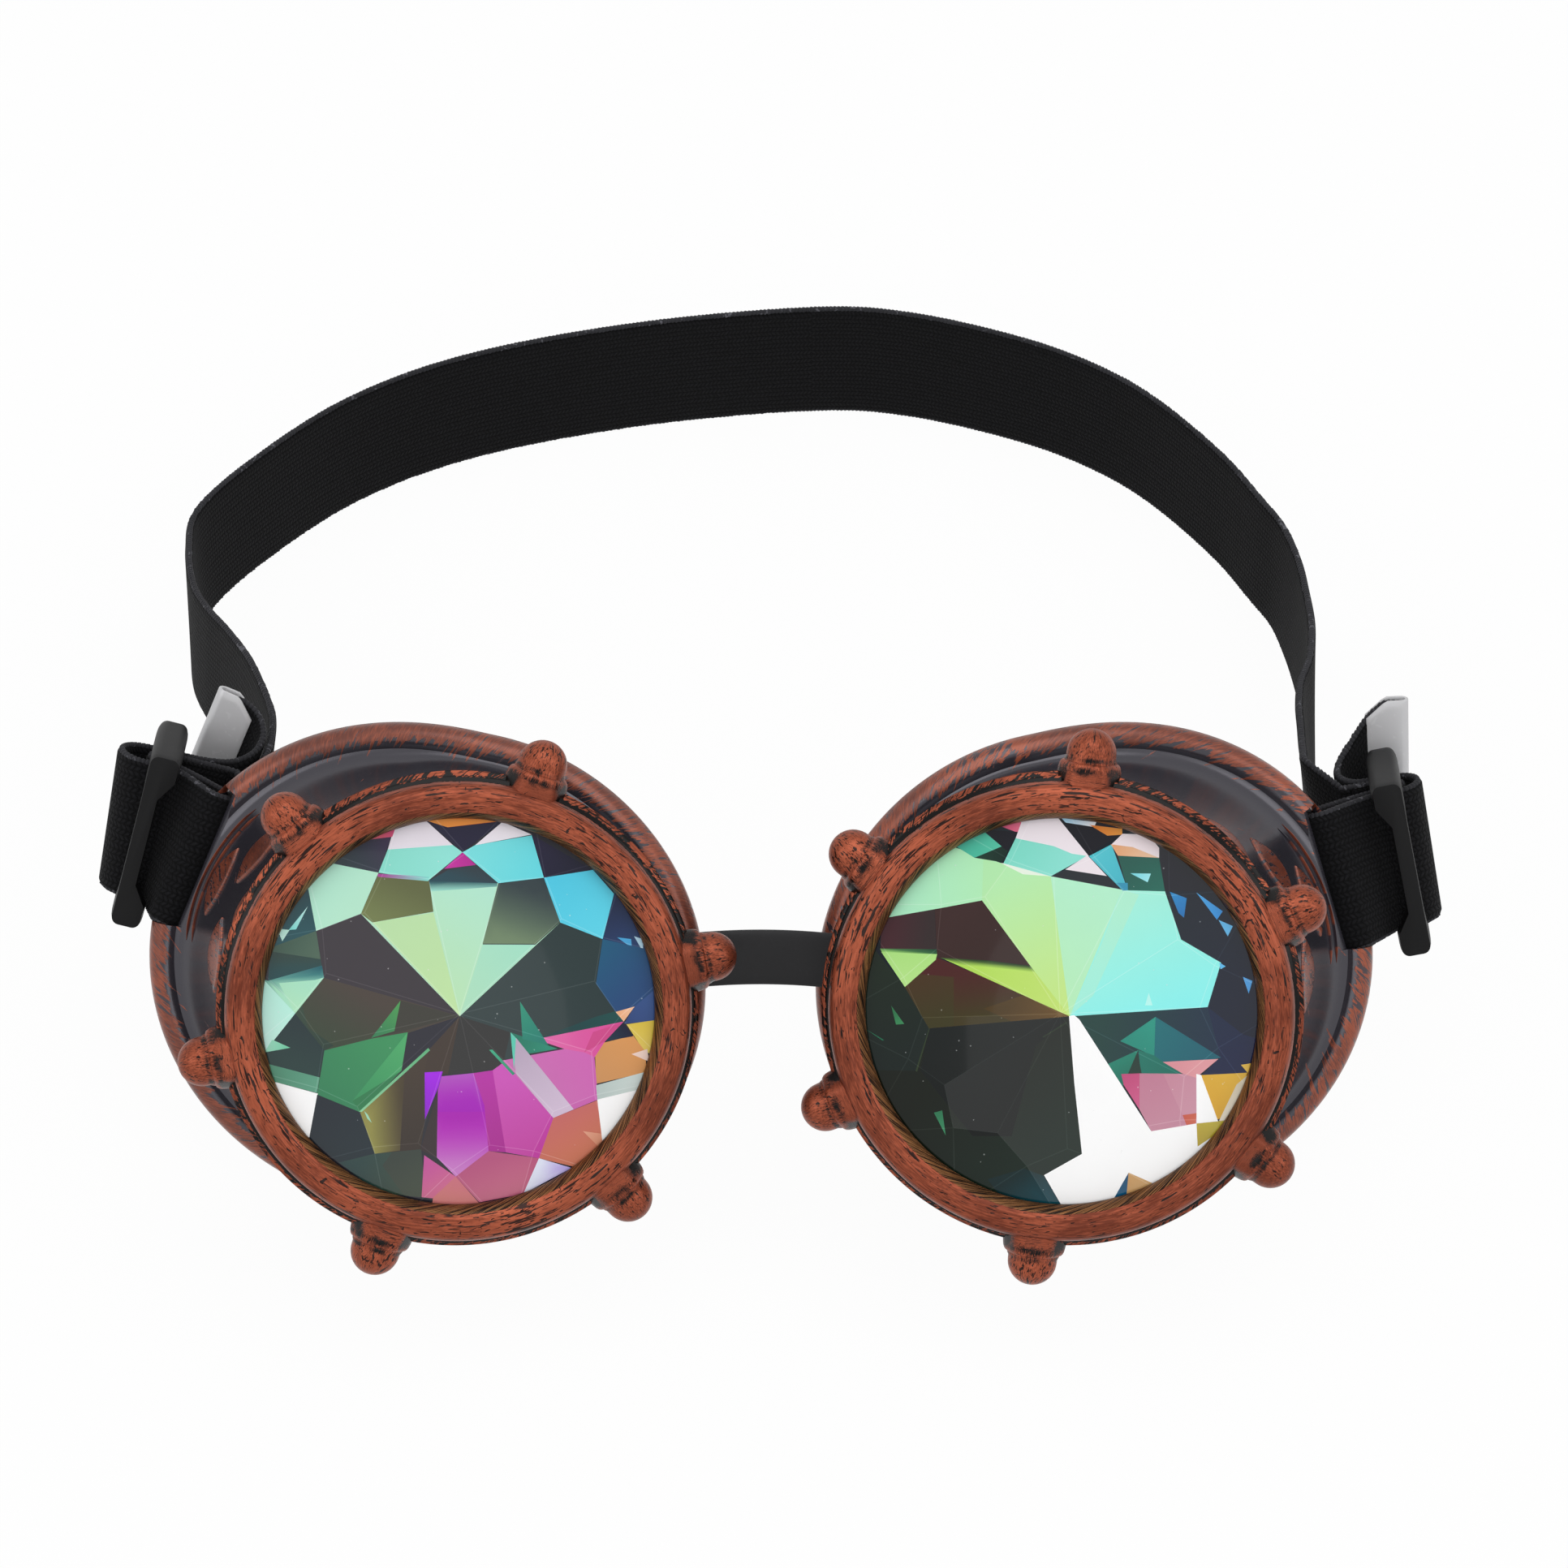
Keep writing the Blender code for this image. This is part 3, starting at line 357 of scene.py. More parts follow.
def dressSurface(surface, colour, rough, height=None, strength=0.0, distance=0.0):
    feed(surface.inputs["Base Color"], colour)
    feed(surface.inputs["Roughness"], rough)
    if height is not None:
        feed(surface.inputs["Normal"], outOf(surface.id_data, "ShaderNodeBump", {
            "Height": height, "Strength": strength, "Distance": distance}))


def geometryTree(name, inputs):
    # A modifier's tree that takes Geometry and these inputs, and its input sockets.
    tree = bpy.data.node_groups.new(name, "GeometryNodeTree")
    tree.is_modifier = True
    for label, kind in {"Geometry": "Geometry", **inputs}.items():
        tree.interface.new_socket(name=label, in_out="INPUT", socket_type="NodeSocket" + kind)
    tree.interface.new_socket(name="Geometry", in_out="OUTPUT", socket_type="NodeSocketGeometry")
    return tree, addNode(tree, "NodeGroupInput").outputs


def endTree(tree, copies, material):
    # Makes the copies plain geometry with the material.
    solid = outOf(tree, "GeometryNodeRealizeInstances", {"Geometry": copies})
    coloured = outOf(tree, "GeometryNodeSetMaterial", {"Geometry": solid, "Material": material})
    addNode(tree, "NodeGroupOutput", {0: coloured})
    return tree


def runTree(thing, tree, **values):
    # Runs a Geometry Nodes tree on the object with these named inputs, and keeps the plain mesh.
    step = addModifier(thing, "NODES", node_group=tree)
    named = {item.name: item.identifier for item in tree.interface.items_tree
             if item.item_type == "SOCKET" and item.in_out == "INPUT"}
    for label, value in spaced(values).items():
        step[named[label]] = value
    return applied(thing)


# Strokes of a dry brush round a cup. Flow is (cos, sin, millimetres across) of a point; it turns by
# the slant as it goes across, so the strokes lean, and it has no seam.


def makeStrokeGroup():
    tree, given = shaderGroup("brushStrokes", {
        "Flow": (0, 0, 0), "Around": 30.0, "Across": 1.0, "Slant": 0.0, "Detail": 2.0, "Shift": 0.0,
    }, {"Strokes": 0.0})
    across = splitNode(given["Flow"])["Z"]
    turned = outOf(tree, "ShaderNodeVectorRotate", {
        "Vector": given["Flow"], "Angle": times(across, given["Slant"])}, rotation_type="Z_AXIS")
    flat = splitNode(turned)
    place = outOf(tree, "ShaderNodeCombineXYZ", {
        "X": times(flat["X"], given["Around"]),
        "Y": times(flat["Y"], given["Around"]),
        "Z": plus(times(across, given["Across"]), given["Shift"]),
    })
    addNode(tree, "NodeGroupOutput", {"Strokes": noiseNode(place, 1.0, given["Detail"], 0.6)})
    return tree


# Copper rubbed over black plastic: where the rub is strong the copper is nearly whole, with dark
# streaks and specks, and where it fades it breaks up into single strokes.


def makeCopperGroup(strokes):
    tree, given = shaderGroup("rubbedCopper", {
        "Flow": (0, 0, 0), "Place": (0, 0, 0), "Rub": 1.0, "Mottle": 0.0, "Edge Around": 60.0,
        "Edge Across": 0.4, "Edge Slant": 0.02, "Ragged": 1.0, "Streaks": 0.5, "Streak Around": 5.0,
        "Streak Across": 2.5, "Streak Slant": 0.1, "Dashes": 0.5, "Specks": 0.5,
        "Copper": (0.42, 0.10, 0.05, 1), "Deep Copper": (0.20, 0.05, 0.03, 1),
        "Black": (0.012, 0.011, 0.012, 1),
    }, {"Color": (0, 0, 0, 1), "Copper": 0.0, "Roughness": 0.0, "Height": 0.0})

    def stroke(around, across, slant, detail, shift):
        return placedGroup(tree, strokes, Flow=given["Flow"], Around=around, Across=across,
                           Slant=slant, Detail=detail, Shift=shift)[0]

    def streak(around, across, slant, detail, shift):
        # Strokes that are so many times finer or more slanted than the streaks.
        return stroke(times(given["Streak Around"], around), times(given["Streak Across"], across),
                      times(given["Streak Slant"], slant), detail, shift)

    def above(value, start, strength, soft=0.03):
        # How far a value passes a limit that comes down as the strength goes up.
        return stepNode(minus(value, minus(start, times(strength, 0.20))), 0.0, soft)

    edge = stroke(given["Edge Around"], given["Edge Across"], given["Edge Slant"], 2.0, 3.0)
    blotch = noiseNode(given["Place"], 520.0, 3.0, 0.6, 0.4)
    spread = plus(centred(edge, given["Ragged"]), centred(blotch, given["Mottle"]))
    rubbed = stepNode(plus(given["Rub"], spread), 0.47, 0.53)
    patches = noiseNode(given["Place"], 75.0, 2.0)
    chips = noiseNode(given["Place"], 1100.0, 2.0, 0.6, 0.8)
    local = centred(patches, 0.30)
    dark = larger(above(plus(streak(1.0, 1.0, 1.0, 2.5, 11.0), local), 0.76, given["Streaks"]),
                  above(plus(streak(1.7, 1.25, 2.4, 2.5, 67.0), local), 0.80, given["Streaks"]))
    dashes = plus(streak(4.5, 1.3, 1.6, 1.5, 29.0), times(local, 0.5))
    dark = larger(dark, above(dashes, 0.78, given["Dashes"], 0.025))
    dark = larger(dark, above(plus(chips, times(local, 0.6)), 0.80, given["Specks"]))
    fine = streak(3.0, 2.6, 1.0, 4.0, 47.0)
    kept = times(rubbed, minus(1.0, times(dark, plus(0.78, times(fine, 0.3), clamp=True))))
    tone = stepNode(plus(times(fine, 0.55), times(patches, 0.45)), 0.36, 0.62)
    metal = mixColour(tone, given["Deep Copper"], given["Copper"])
    shine = outOf(tree, "ShaderNodeMapRange", {"Value": kept, "To Min": 0.18, "To Max": 0.40})
    addNode(tree, "NodeGroupOutput", {
        "Color": mixColour(kept, given["Black"], metal), "Copper": kept,
        "Roughness": plus(shine, centred(fine, 0.18)), "Height": plus(kept, times(fine, 0.35))})
    return tree


# A knit of small staggered loops, read from a UV map in millimetres along and across the band. The loops' crowns are
# painted paler, a painted highlight, varied by a random yarn tone.


def makeKnitGroup():
    tree, given = shaderGroup("knitLoops", {
        "Place": (0, 0, 0), "Along Pitch": 0.9, "Across Pitch": 0.75,
        "Dark": (0.004, 0.004, 0.005, 1), "Light": (0.02, 0.02, 0.023, 1),
    }, {"Color": (0, 0, 0, 1), "Loops": 0.0, "Height": 0.0})
    wander = addNode(tree, "ShaderNodeTexNoise", {"Vector": given["Place"], "Scale": 0.55, "Detail": 2.0})
    shifted = outOf(tree, "ShaderNodeVectorMath", {
        0: wander.outputs["Color"], 1: (0.5, 0.35, 0.0), 2: given["Place"]}, operation="MULTIPLY_ADD")
    parts = splitNode(shifted)
    row = mathNode("DIVIDE", parts["Y"], given["Across Pitch"])
    rowNumber, inRow = mathNode("FLOOR", row), mathNode("FRACT", row)
    odd = mathNode("MODULO", mathNode("ABSOLUTE", rowNumber), 2.0)
    zigzag = times(minus(inRow, 0.5), minus(times(odd, 1.5), 0.75))
    along = plus(mathNode("DIVIDE", parts["X"], given["Along Pitch"]), zigzag)
    hump = mathNode("SINE", times(mathNode("FRACT", along), math.pi))
    rib = mathNode("SINE", times(inRow, math.pi))
    loops = times(mathNode("POWER", hump, 0.6), mathNode("POWER", rib, 0.5))
    cell = outOf(tree, "ShaderNodeCombineXYZ", {"X": mathNode("FLOOR", along), "Y": rowNumber})
    varied = outOf(tree, "ShaderNodeTexWhiteNoise", {"Vector": cell}, noise_dimensions="2D")
    fuzz = noiseNode(given["Place"], 6.0, 4.0, 0.7)
    cloud = noiseNode(given["Place"], 0.12, 2.0)
    uneven = plus(times(varied, 0.5), plus(times(fuzz, 0.7), times(cloud, 0.3)))
    # Painted highlight on the loops' crowns, made uneven by a random yarn tone
    paintedLoopHighlight = times(mathNode("POWER", loops, 2.0), uneven, clamp=True)
    addNode(tree, "NodeGroupOutput", {"Color": mixColour(paintedLoopHighlight, given["Dark"], given["Light"]),
                                      "Loops": loops, "Height": plus(loops, times(fuzz, 0.35))})
    return tree


# Fine grain and faint scuffs of moulded plastic and rubber.


def makeGrainGroup():
    tree, given = shaderGroup("mouldedGrain", {
        "Place": (0, 0, 0), "Grain": 4000.0, "Scuffs": 0.5, "Base": (0.02, 0.02, 0.022, 1),
        "Scuffed": (0.05, 0.05, 0.055, 1), "Low Rough": 0.35, "High Rough": 0.55,
    }, {"Color": (0, 0, 0, 1), "Roughness": 0.0, "Height": 0.0})
    grain = noiseNode(given["Place"], given["Grain"], 2.0)
    cloud = noiseNode(given["Place"], 90.0)
    scratch = noiseNode(given["Place"], 700.0, 2.0, 0.5, 1.5)
    marks = times(stepNode(scratch, 0.62, 0.70), given["Scuffs"])
    tone = plus(times(cloud, 0.35), marks, clamp=True)
    mixed = plus(times(cloud, 0.7), times(grain, 0.3))
    rough = plus(given["Low Rough"], times(mixed, minus(given["High Rough"], given["Low Rough"])))
    addNode(tree, "NodeGroupOutput", {"Color": mixColour(tone, given["Base"], given["Scuffed"]),
                                      "Roughness": rough, "Height": grain})
    return tree


strokeGroup = makeStrokeGroup()
copperGroup = makeCopperGroup(strokeGroup)
knitGroup = makeKnitGroup()
grainGroup = makeGrainGroup()


def copperMaterial(name, shine, metalShare, bareMetal=0.0, **values):
    # Rubbed copper; the zone attribute holds how far it is rubbed on, and the gold hatching's share.
    made, tree, surface = newMaterial(name, **shine)
    flow, zone = attributeNode(tree, "flow"), splitNode(attributeNode(tree, "zone"))
    rubbed = placedGroup(tree, copperGroup, Flow=flow, Place=objectPlace(tree), Rub=zone["X"], **values)
    hatch = placedGroup(tree, strokeGroup, Flow=flow, Around=100.0, Across=0.35, Slant=0.10, Detail=2.0, Shift=5.0)[0]
    gold = mixColour(stepNode(hatch, 0.46, 0.53), hexColour("8c5f3a"), hexColour("1c120d"))
    hatched = stepNode(plus(zone["Y"], centred(hatch, 0.9)), 0.46, 0.56)
    feed(surface.inputs["Metallic"], plus(times(rubbed["Copper"], metalShare - bareMetal), bareMetal))
    colour = mixColour(hatched, rubbed["Color"], gold)
    dressSurface(surface, colour, rubbed["Roughness"], rubbed["Height"], 0.35, 0.00006)
    return made


# Bezels: a turned ring with a rounded lip, a hatched bevel inside and grooves behind it

bezel = {
    "openingRadius": 0.0240,
    "lipRadius": 0.0286,
    "lipThick": 0.0022,
    # the lip's section: distance outward from the opening or the lip's edge, and share of the thickness
    "lipInner": ((0.0, 0.98), (0.00005, 0.80), (0.00035, 0.52), (0.00085, 0.24), (0.00150, 0.06),
                 (0.00220, 0.0), (0.00300, 0.05)),
    "lipOuter": ((-0.00075, 0.21), (-0.00028, 0.47), (-0.00004, 0.78), (0.0, 1.0)),
    "grooves": ((0.00250, 0.02835), (0.00300, 0.02910), (0.00350, 0.02860), (0.00410, 0.02965),
                (0.00465, 0.02860)),  # depth, radius
    "skirtRadius": 0.0281,
    "skirtRows": (0.0050, 0.0070),
    "skirtBore": 0.0266,
    "skirtDepth": 0.0096,
    "lensBore": 0.0253,
    "seatDepth": 0.0053,
    "edge": 0.0004,
    "boreEdge": 0.0002,
    "steps": 192,
}

nut = {
    "count": 6,
    "depth": 0.0046,
    "flats": 0.0072,
    "foot": 0.0274,
    "top": 0.0311,
    "corner": 0.00075,
    "square": 15.0,  # higher makes the six edges sharper
    "ballRadius": 0.00305,
    "ballRise": 0.0008,
    "steps": 36,
    "turn": {"left": math.radians(6.0), "right": math.radians(28.6)},
}

screw = {
    "pitch": 0.0022,
    "turns": 1.25,
    "ridge": 0.00045,
    "collarRadius": 0.02585,
    "back": 0.0004,
    "fade": (12, 0.05),  # how fast its ends run out, and how much is left there
    "steps": 80,
}

# How far the copper is rubbed on; the pairs are where it changes, in metres
bezelRub = {
    "hatched": (0.0015, 0.0025),  # the gold hatching ends here along the section
    "inner": 0.30,
    "innerSpan": (0.0012, 0.0030),
    "edge": 0.50,
    "edgeSpan": (0.0, 0.0011),
    "groove": 0.04,
    "crest": 0.50,
    "crestSpan": (0.0287, 0.0292),
    "skirt": 0.05,
    "skirtFrom": 0.0046,
    "reach": 0.0004,  # points further from the ring's section than this are on the nuts
    "nutFace": 0.36,
    "nutEdge": 0.34,
    "nutTop": 0.34,
    "topSpan": (-0.0011, -0.0003),
    "ball": 0.95,
    "ballSpan": (0.0001, 0.0010),
    "waist": 0.30,
    "waistRise": 0.0002,
    "waistHalf": 0.0006,
    "waistSize": 0.0026,
    "foot": 0.25,
    "footSpan": (0.0001, 0.0012),
}


def bezelProfile():
    # (radius, depth) from the back of the opening over the lip to the foot of the skirt, then inside.
    b = bezel
    opening, lip, thick = b["openingRadius"], b["lipRadius"], b["lipThick"]
    skirt, bore, foot, seat = b["skirtRadius"], b["skirtBore"], b["skirtDepth"], b["seatDepth"]
    front = smoothLine([(opening + out, share * thick) for out, share in b["lipInner"]]
                       + [(lip + out, share * thick) for out, share in b["lipOuter"]], 4)
    side = smoothLine([(lip, thick)] + [(radius, depth) for depth, radius in b["grooves"]], 4)[1:]
    side += [(skirt, depth) for depth in b["skirtRows"]]
    side += [(skirt, foot - b["edge"]), (skirt - b["edge"], foot), (bore + b["boreEdge"], foot)]
    inside = [(bore, foot - b["boreEdge"]), (bore, seat), (b["lensBore"], seat), (b["lensBore"], thick)]
    return front + side + inside + [(opening, thick)]


def ringMarks(lengths, near, lipEnd, radius, depth):
    # How far the copper is rubbed on, and how much of the gold hatching shows, on the ring.
    r = bezelRub
    along = lengths[near]
    rub = 1.0 - r["edge"] * (1.0 - smoothStep(*r["edgeSpan"], lengths[lipEnd] - along))
    rub -= r["inner"] * (1.0 - smoothStep(*r["innerSpan"], along))
    if near > lipEnd:
        rub = r["groove"] + r["crest"] * smoothStep(*r["crestSpan"], radius)
    if depth > r["skirtFrom"]:
        rub = r["skirt"]
    return rub, 1.0 - smoothStep(*r["hatched"], along), 0.0


def nutMarks(label, place, radius, depth):
    # The same for a nut, and its flow, which runs round the nut's own axis.
    r, sixth = bezelRub, math.tau / 6
    turn = math.atan2(place.y, place.x) - nut["turn"][label]
    turn -= sixth * round(turn / sixth)
    reach, sideways, low = radius * math.cos(turn), radius * math.sin(turn), depth - nut["depth"]
    size, around = math.hypot(sideways, low), math.atan2(low, sideways)
    corner = 1.0 - abs((around / sixth + 0.5) % 1.0 - 0.5) * 2.0  # 1 at a corner, 0 mid-face
    onBall = smoothStep(*(nut["top"] + span for span in r["ballSpan"]), reach)
    top = smoothStep(*(nut["top"] + span for span in r["topSpan"]), reach)
    foot = 1.0 - smoothStep(*(bezel["lipRadius"] + span for span in r["footSpan"]), reach)
    waist = 1.0 - smoothStep(0.0, r["waistHalf"], abs(reach - nut["top"] - r["waistRise"]))
    rub = (r["nutFace"] + r["nutEdge"] * corner ** 4 + r["nutTop"] * top) * (1.0 - onBall) + r["ball"] * onBall
    rub -= r["waist"] * waist * (1.0 if size > r["waistSize"] else 0.0)
    rub -= r["foot"] * foot
    slide = 0.45 * reach / mm + 5.0 * round(place.x / 0.01)  # each nut gets strokes of its own
    return (1.3 * math.cos(around), 1.3 * math.sin(around), slide), (rub, 0.0, 0.0)


def markBezel(thing, place, label):
    # Flow and zone of each point, from its radius and depth in the cup's frame.
    back = place.inverted()
    profile = bezelProfile()
    lengths = lengthsAlong(profile)
    lipEnd = nearestOn(profile, (bezel["lipRadius"], bezel["lipThick"]))[0]
    flow, zone = [], []
    for vertex in thing.data.vertices:
        spot = back @ vertex.co
        radius, depth = math.hypot(spot.x, spot.y), -spot.z
        near, off = nearestOn(profile, (radius, depth))
        if off < bezelRub["reach"]:
            flow.append((spot.x / radius, spot.y / radius, lengths[near] / mm))
            zone.append(ringMarks(lengths, near, lipEnd, radius, depth))
        else:
            flowHere, zoneHere = nutMarks(label, spot, radius, depth)
            flow.append(flowHere)
            zone.append(zoneHere)
    vectorAttribute(thing, "flow", flow)
    vectorAttribute(thing, "zone", zone)


def nutTemplate():
    # One soft six-sided boss with a ball on top, along +X from the lens axis.
    half, top, ball, radius = nut["flats"] / 2, nut["top"], nut["top"] + nut["ballRise"], nut["ballRadius"]
    # height, size and roundness, from the foot to the top of the ball
    levels = [(nut["foot"], half * 1.05, 0.0), (nut["foot"] + 0.0012, half * 1.03, 0.0),
              (top - 0.0012, half * 0.99, 0.02)]
    for n in range(1, 5):
        turn = math.pi / 2 * n / 4
        size = half * 0.99 - nut["corner"] * (1 - math.cos(turn)) * 0.62
        levels.append((top - 0.0012 + 0.0010 * math.sin(turn), size, 0.05 + 0.3 * n / 4))
    levels += [(top + 0.00008, radius + 0.00008, 0.72), (top + 0.00032, radius + 0.00001, 0.96)]
    for n in range(12):
        turn = math.pi / 2 * n / 12
        levels.append((ball + radius * math.sin(turn), radius * math.cos(turn), 1.0))
    rings, power, count = [], nut["square"], nut["steps"]
    for height, size, roundness in levels:
        ring = []
        for n in range(count):
            turn = math.tau * (n + 0.5) / count
            edges = (math.cos(turn - math.tau * (k + 0.5) / 6) for k in range(6))
            spread = sum(max(0.0, edge) ** power for edge in edges) ** (-1 / power)
            reach = size * (spread * (1.0 - roundness) + roundness)
            ring.append(Vector((height, reach * math.cos(turn), reach * math.sin(turn) - nut["depth"])))
        rings.append(ring)
    bm = bmesh.new()
    made = skin(bm, rings)
    bm.faces.new(made[0])
    tip = bm.verts.new((ball + radius, 0.0, -nut["depth"]))
    for n in range(count):
        bm.faces.new((made[-1][n], made[-1][(n + 1) % count], tip))
    return fromBmesh("nut", bm, 50)


def makeRingTree():
    # Geometry Nodes: puts copies of the given mesh round the Z axis.
    tree, given = geometryTree("copiesRound", {"Count": "Int", "First Angle": "Float", "Material": "Material"})
    points = outOf(tree, "GeometryNodePoints", {"Count": given["Count"]})
    index = outOf(tree, "GeometryNodeInputIndex")
    angle = plus(times(index, mathNode("DIVIDE", math.tau, given["Count"])), given["First Angle"])
    turn = outOf(tree, "ShaderNodeCombineXYZ", {"Z": angle})
    copies = outOf(tree, "GeometryNodeInstanceOnPoints", {
        "Points": points, "Instance": given["Geometry"], "Rotation": turn})
    return endTree(tree, copies, given["Material"])


def threadRidge(name, radius, turn):
    # A low ridge that climbs along the lens axis, with ends that run out.
    middle = (bezel["seatDepth"] + bezel["skirtDepth"]) / 2 + screw["back"]
    fade, least = screw["fade"]
    rings = []
    for n in range(screw["steps"] + 1):
        share = n / screw["steps"] - 0.5
        angle = math.tau * screw["turns"] * share + turn
        size = screw["ridge"] * min(1.0, (0.5 - abs(share)) * fade + least)
        ring = []
        for around in turns(6):
            reach = radius + size * math.cos(around)
            depth = middle - screw["pitch"] * screw["turns"] * share + size * math.sin(around)
            ring.append(cupPlace(1, angle, depth, reach))
        rings.append(ring)
    return skinned(name, rings, caps=True)


def makeBezel(label, side, copper, ringTree):
    place = cupFrame(side)
    profile = bezelProfile()
    rings = [[cupPlace(1, angle, depth, radius) for radius, depth in profile] for angle in turns(bezel["steps"])]
    ring = skinned(f"{label}BezelRing", rings, 40, around=False, closed=True)
    nuts = runTree(nutTemplate(), ringTree, Count=nut["count"], First_Angle=nut["turn"][label], Material=copper)
    ridge = threadRidge("bezelThread", bezel["skirtBore"], math.pi)
    made = joined(f"{label}BezelDressed", [ring, nuts, ridge])
    made.data.transform(place)
    setMaterial(made, copper)
    markBezel(made, place, label)
    return finished(made, f"{label}_bezel_ring", "rubbed_copper", f"{label}_bezel")


# Cups: a flared wall with a rounded rim bead, leaf pads and ribs, a strap slot and a nose slot

cup = {
    "collarFront": 0.0059,
    "collarWall": 0.0020,
    "collarEdge": 0.0003,
    "shoulderDepth": 0.0099,
    "shoulderRadius": 0.0276,
    # depth past the shoulder, distance in from its radius, and rub
    "shoulder": ((0.0, 0.0002, 0.1), (0.0002, 0.0, 0.42), (0.0006, 0.0, 0.40), (0.0011, 0.0001, 0.25)),
    "wallStart": (0.0117, 0.0269),  # depth, radius
    "wallThick": 0.0020,
    "wallRows": 30,
    "wallEnd": (0.92, 0.39),  # ahead of the bead's middle and in from it, in bead radii
    "wallBend": (0.5, 0.45, 0.25),  # where the curve's handles lie: shares of its run, rise and valley
    "insideEnd": 0.3,
    "rimRadius": 0.03174,
    "templeExtra": 0.0067,
    "templePower": 1.5,
    "rimDepth": 0.02716,
    "depthSwing": 0.0097,
    "depthLean": 0.4,  # share of the lean
    "beadRadius": 0.0023,
    "beadRows": 32,
    "beadArc": (math.radians(203.0), math.radians(-70.0)),
    "valleyLength": 0.0031,
    "lean": math.radians(15.0),  # the widest part of the rim lies this far above the temple
    "steps": 208,
}

cupRub = {
    "wall": -0.05,
    "valley": 0.22,
    "valleySpan": (0.80, 1.0),  # shares of the wall's length
    "beadStart": 0.17,
    "beadSpan": (0.0, 0.22),  # shares of the bead's arc
    "beadBack": (0.62, 0.90),
    "beadEnd": 0.25,
    "pad": 0.78,
    "rib": 0.68,
    "ribStretch": 0.08,  # strokes this much longer on the ribs
    "reach": 0.0006,
}

slot = {
    "angle": {-1: math.radians(29.0), 1: math.radians(24.0)},
    "shift": math.radians(0.8),
    "lean": math.radians(45.0),
    "long": 0.0172,
    "wide": 0.0015,
    "deep": 0.0110,
    "ahead": 0.0034,
    "inset": 0.0035,  # its length is measured this far in from the bead's middle
    "over": 0.0004,
    "step": -0.0003,
    "barThin": 0.0022,  # how far the slot cuts into the rim's bead
    "steps": 16,
}

noseSlot = {
    "share": 0.463,
    "lift": 0.0015,
    "reach": (0.0180, 0.03274),  # inner and outer radius
    "tall": 0.0075,
    "thick": 0.0022,
}

pad = {
    "places": ((54.0, 0.17), (24.0, 0.17), (-7.0, 0.17), (39.0, 0.41), (11.0, 0.41), (27.0, 0.64)),
    "from": 28.0,  # the slot angle, in degrees, that these places were set out for
    "long": 0.0098,
    "wide": 0.0043,
    "high": 0.00026,
    "foot": (1.02, -0.0006),
    "layers": ((1.0, 0.45), (0.975, 0.80), (0.93, 0.97), (0.84, 1.03), (0.62, 1.08), (0.40, 1.12), (0.18, 1.14)),
    "steps": 44,
}

rib = {
    "places": (0.76, 0.84),
    "span": math.radians(34.0),
    "wide": 0.00035,
    "high": 0.00030,
    "fade": (9, 0.15),
    "section": ((-1.2, -0.0005), (1.2, -0.0005), (0.95, 0.55), (0.45, 0.95), (-0.45, 0.95), (-0.95, 0.55)),
    "steps": 40,
}


def rimRadius(angle):
    return cup["rimRadius"] + cup["templeExtra"] * max(0.0, math.cos(angle - cup["lean"])) ** cup["templePower"]


def rimDepth(angle):
    return cup["rimDepth"] + cup["depthSwing"] * math.cos(angle - cup["depthLean"] * cup["lean"])


def beadCentre(angle):
    return rimDepth(angle), rimRadius(angle) - cup["beadRadius"]


def beadPlace(side, angle):
    return cupPlace(side, angle, *beadCentre(angle))


def noseDepth():
    front = cup["shoulderDepth"]
    return front + noseSlot["share"] * (cup["rimDepth"] - cup["depthSwing"] - front)


def bezier(points, share):
    rest = 1.0 - share
    weights = (rest ** 3, 3 * rest * rest * share, 3 * rest * share * share, share ** 3)
    return tuple(sum(w * p[k] for w, p in zip(weights, points)) for k in (0, 1))


def wallCurve(angle):
    start, valley = cup["wallStart"], cup["valleyLength"]
    (ahead, inward), (runShare, riseShare, valleyShare) = cup["wallEnd"], cup["wallBend"]
    depth, radius = beadCentre(angle)
    end = (depth - ahead * cup["beadRadius"], radius - inward * cup["beadRadius"])
    run = end[0] - start[0]
    rise = max(0.0, end[1] - valley - start[1])
    first = (start[0] + runShare * run, start[1] + riseShare * rise)
    second = (end[0] - valleyShare * valley, max(end[1] - valley, start[1]))
    return start, first, second, end


def wallPoint(angle, share, height=0.0):
    # Depth and radius of a point on the outer wall, raised outward by a height.
    curve = wallCurve(angle)
    depth, radius = bezier(curve, share)
    ahead, behind = bezier(curve, min(1.0, share + 0.01)), bezier(curve, max(0.0, share - 0.01))
    run, rise = ahead[0] - behind[0], ahead[1] - behind[1]
    size = math.hypot(run, rise)
    return depth - height * rise / size, radius + height * run / size


def wallRun(angle):
    curve = wallCurve(angle)
    return math.dist(curve[0], curve[3])


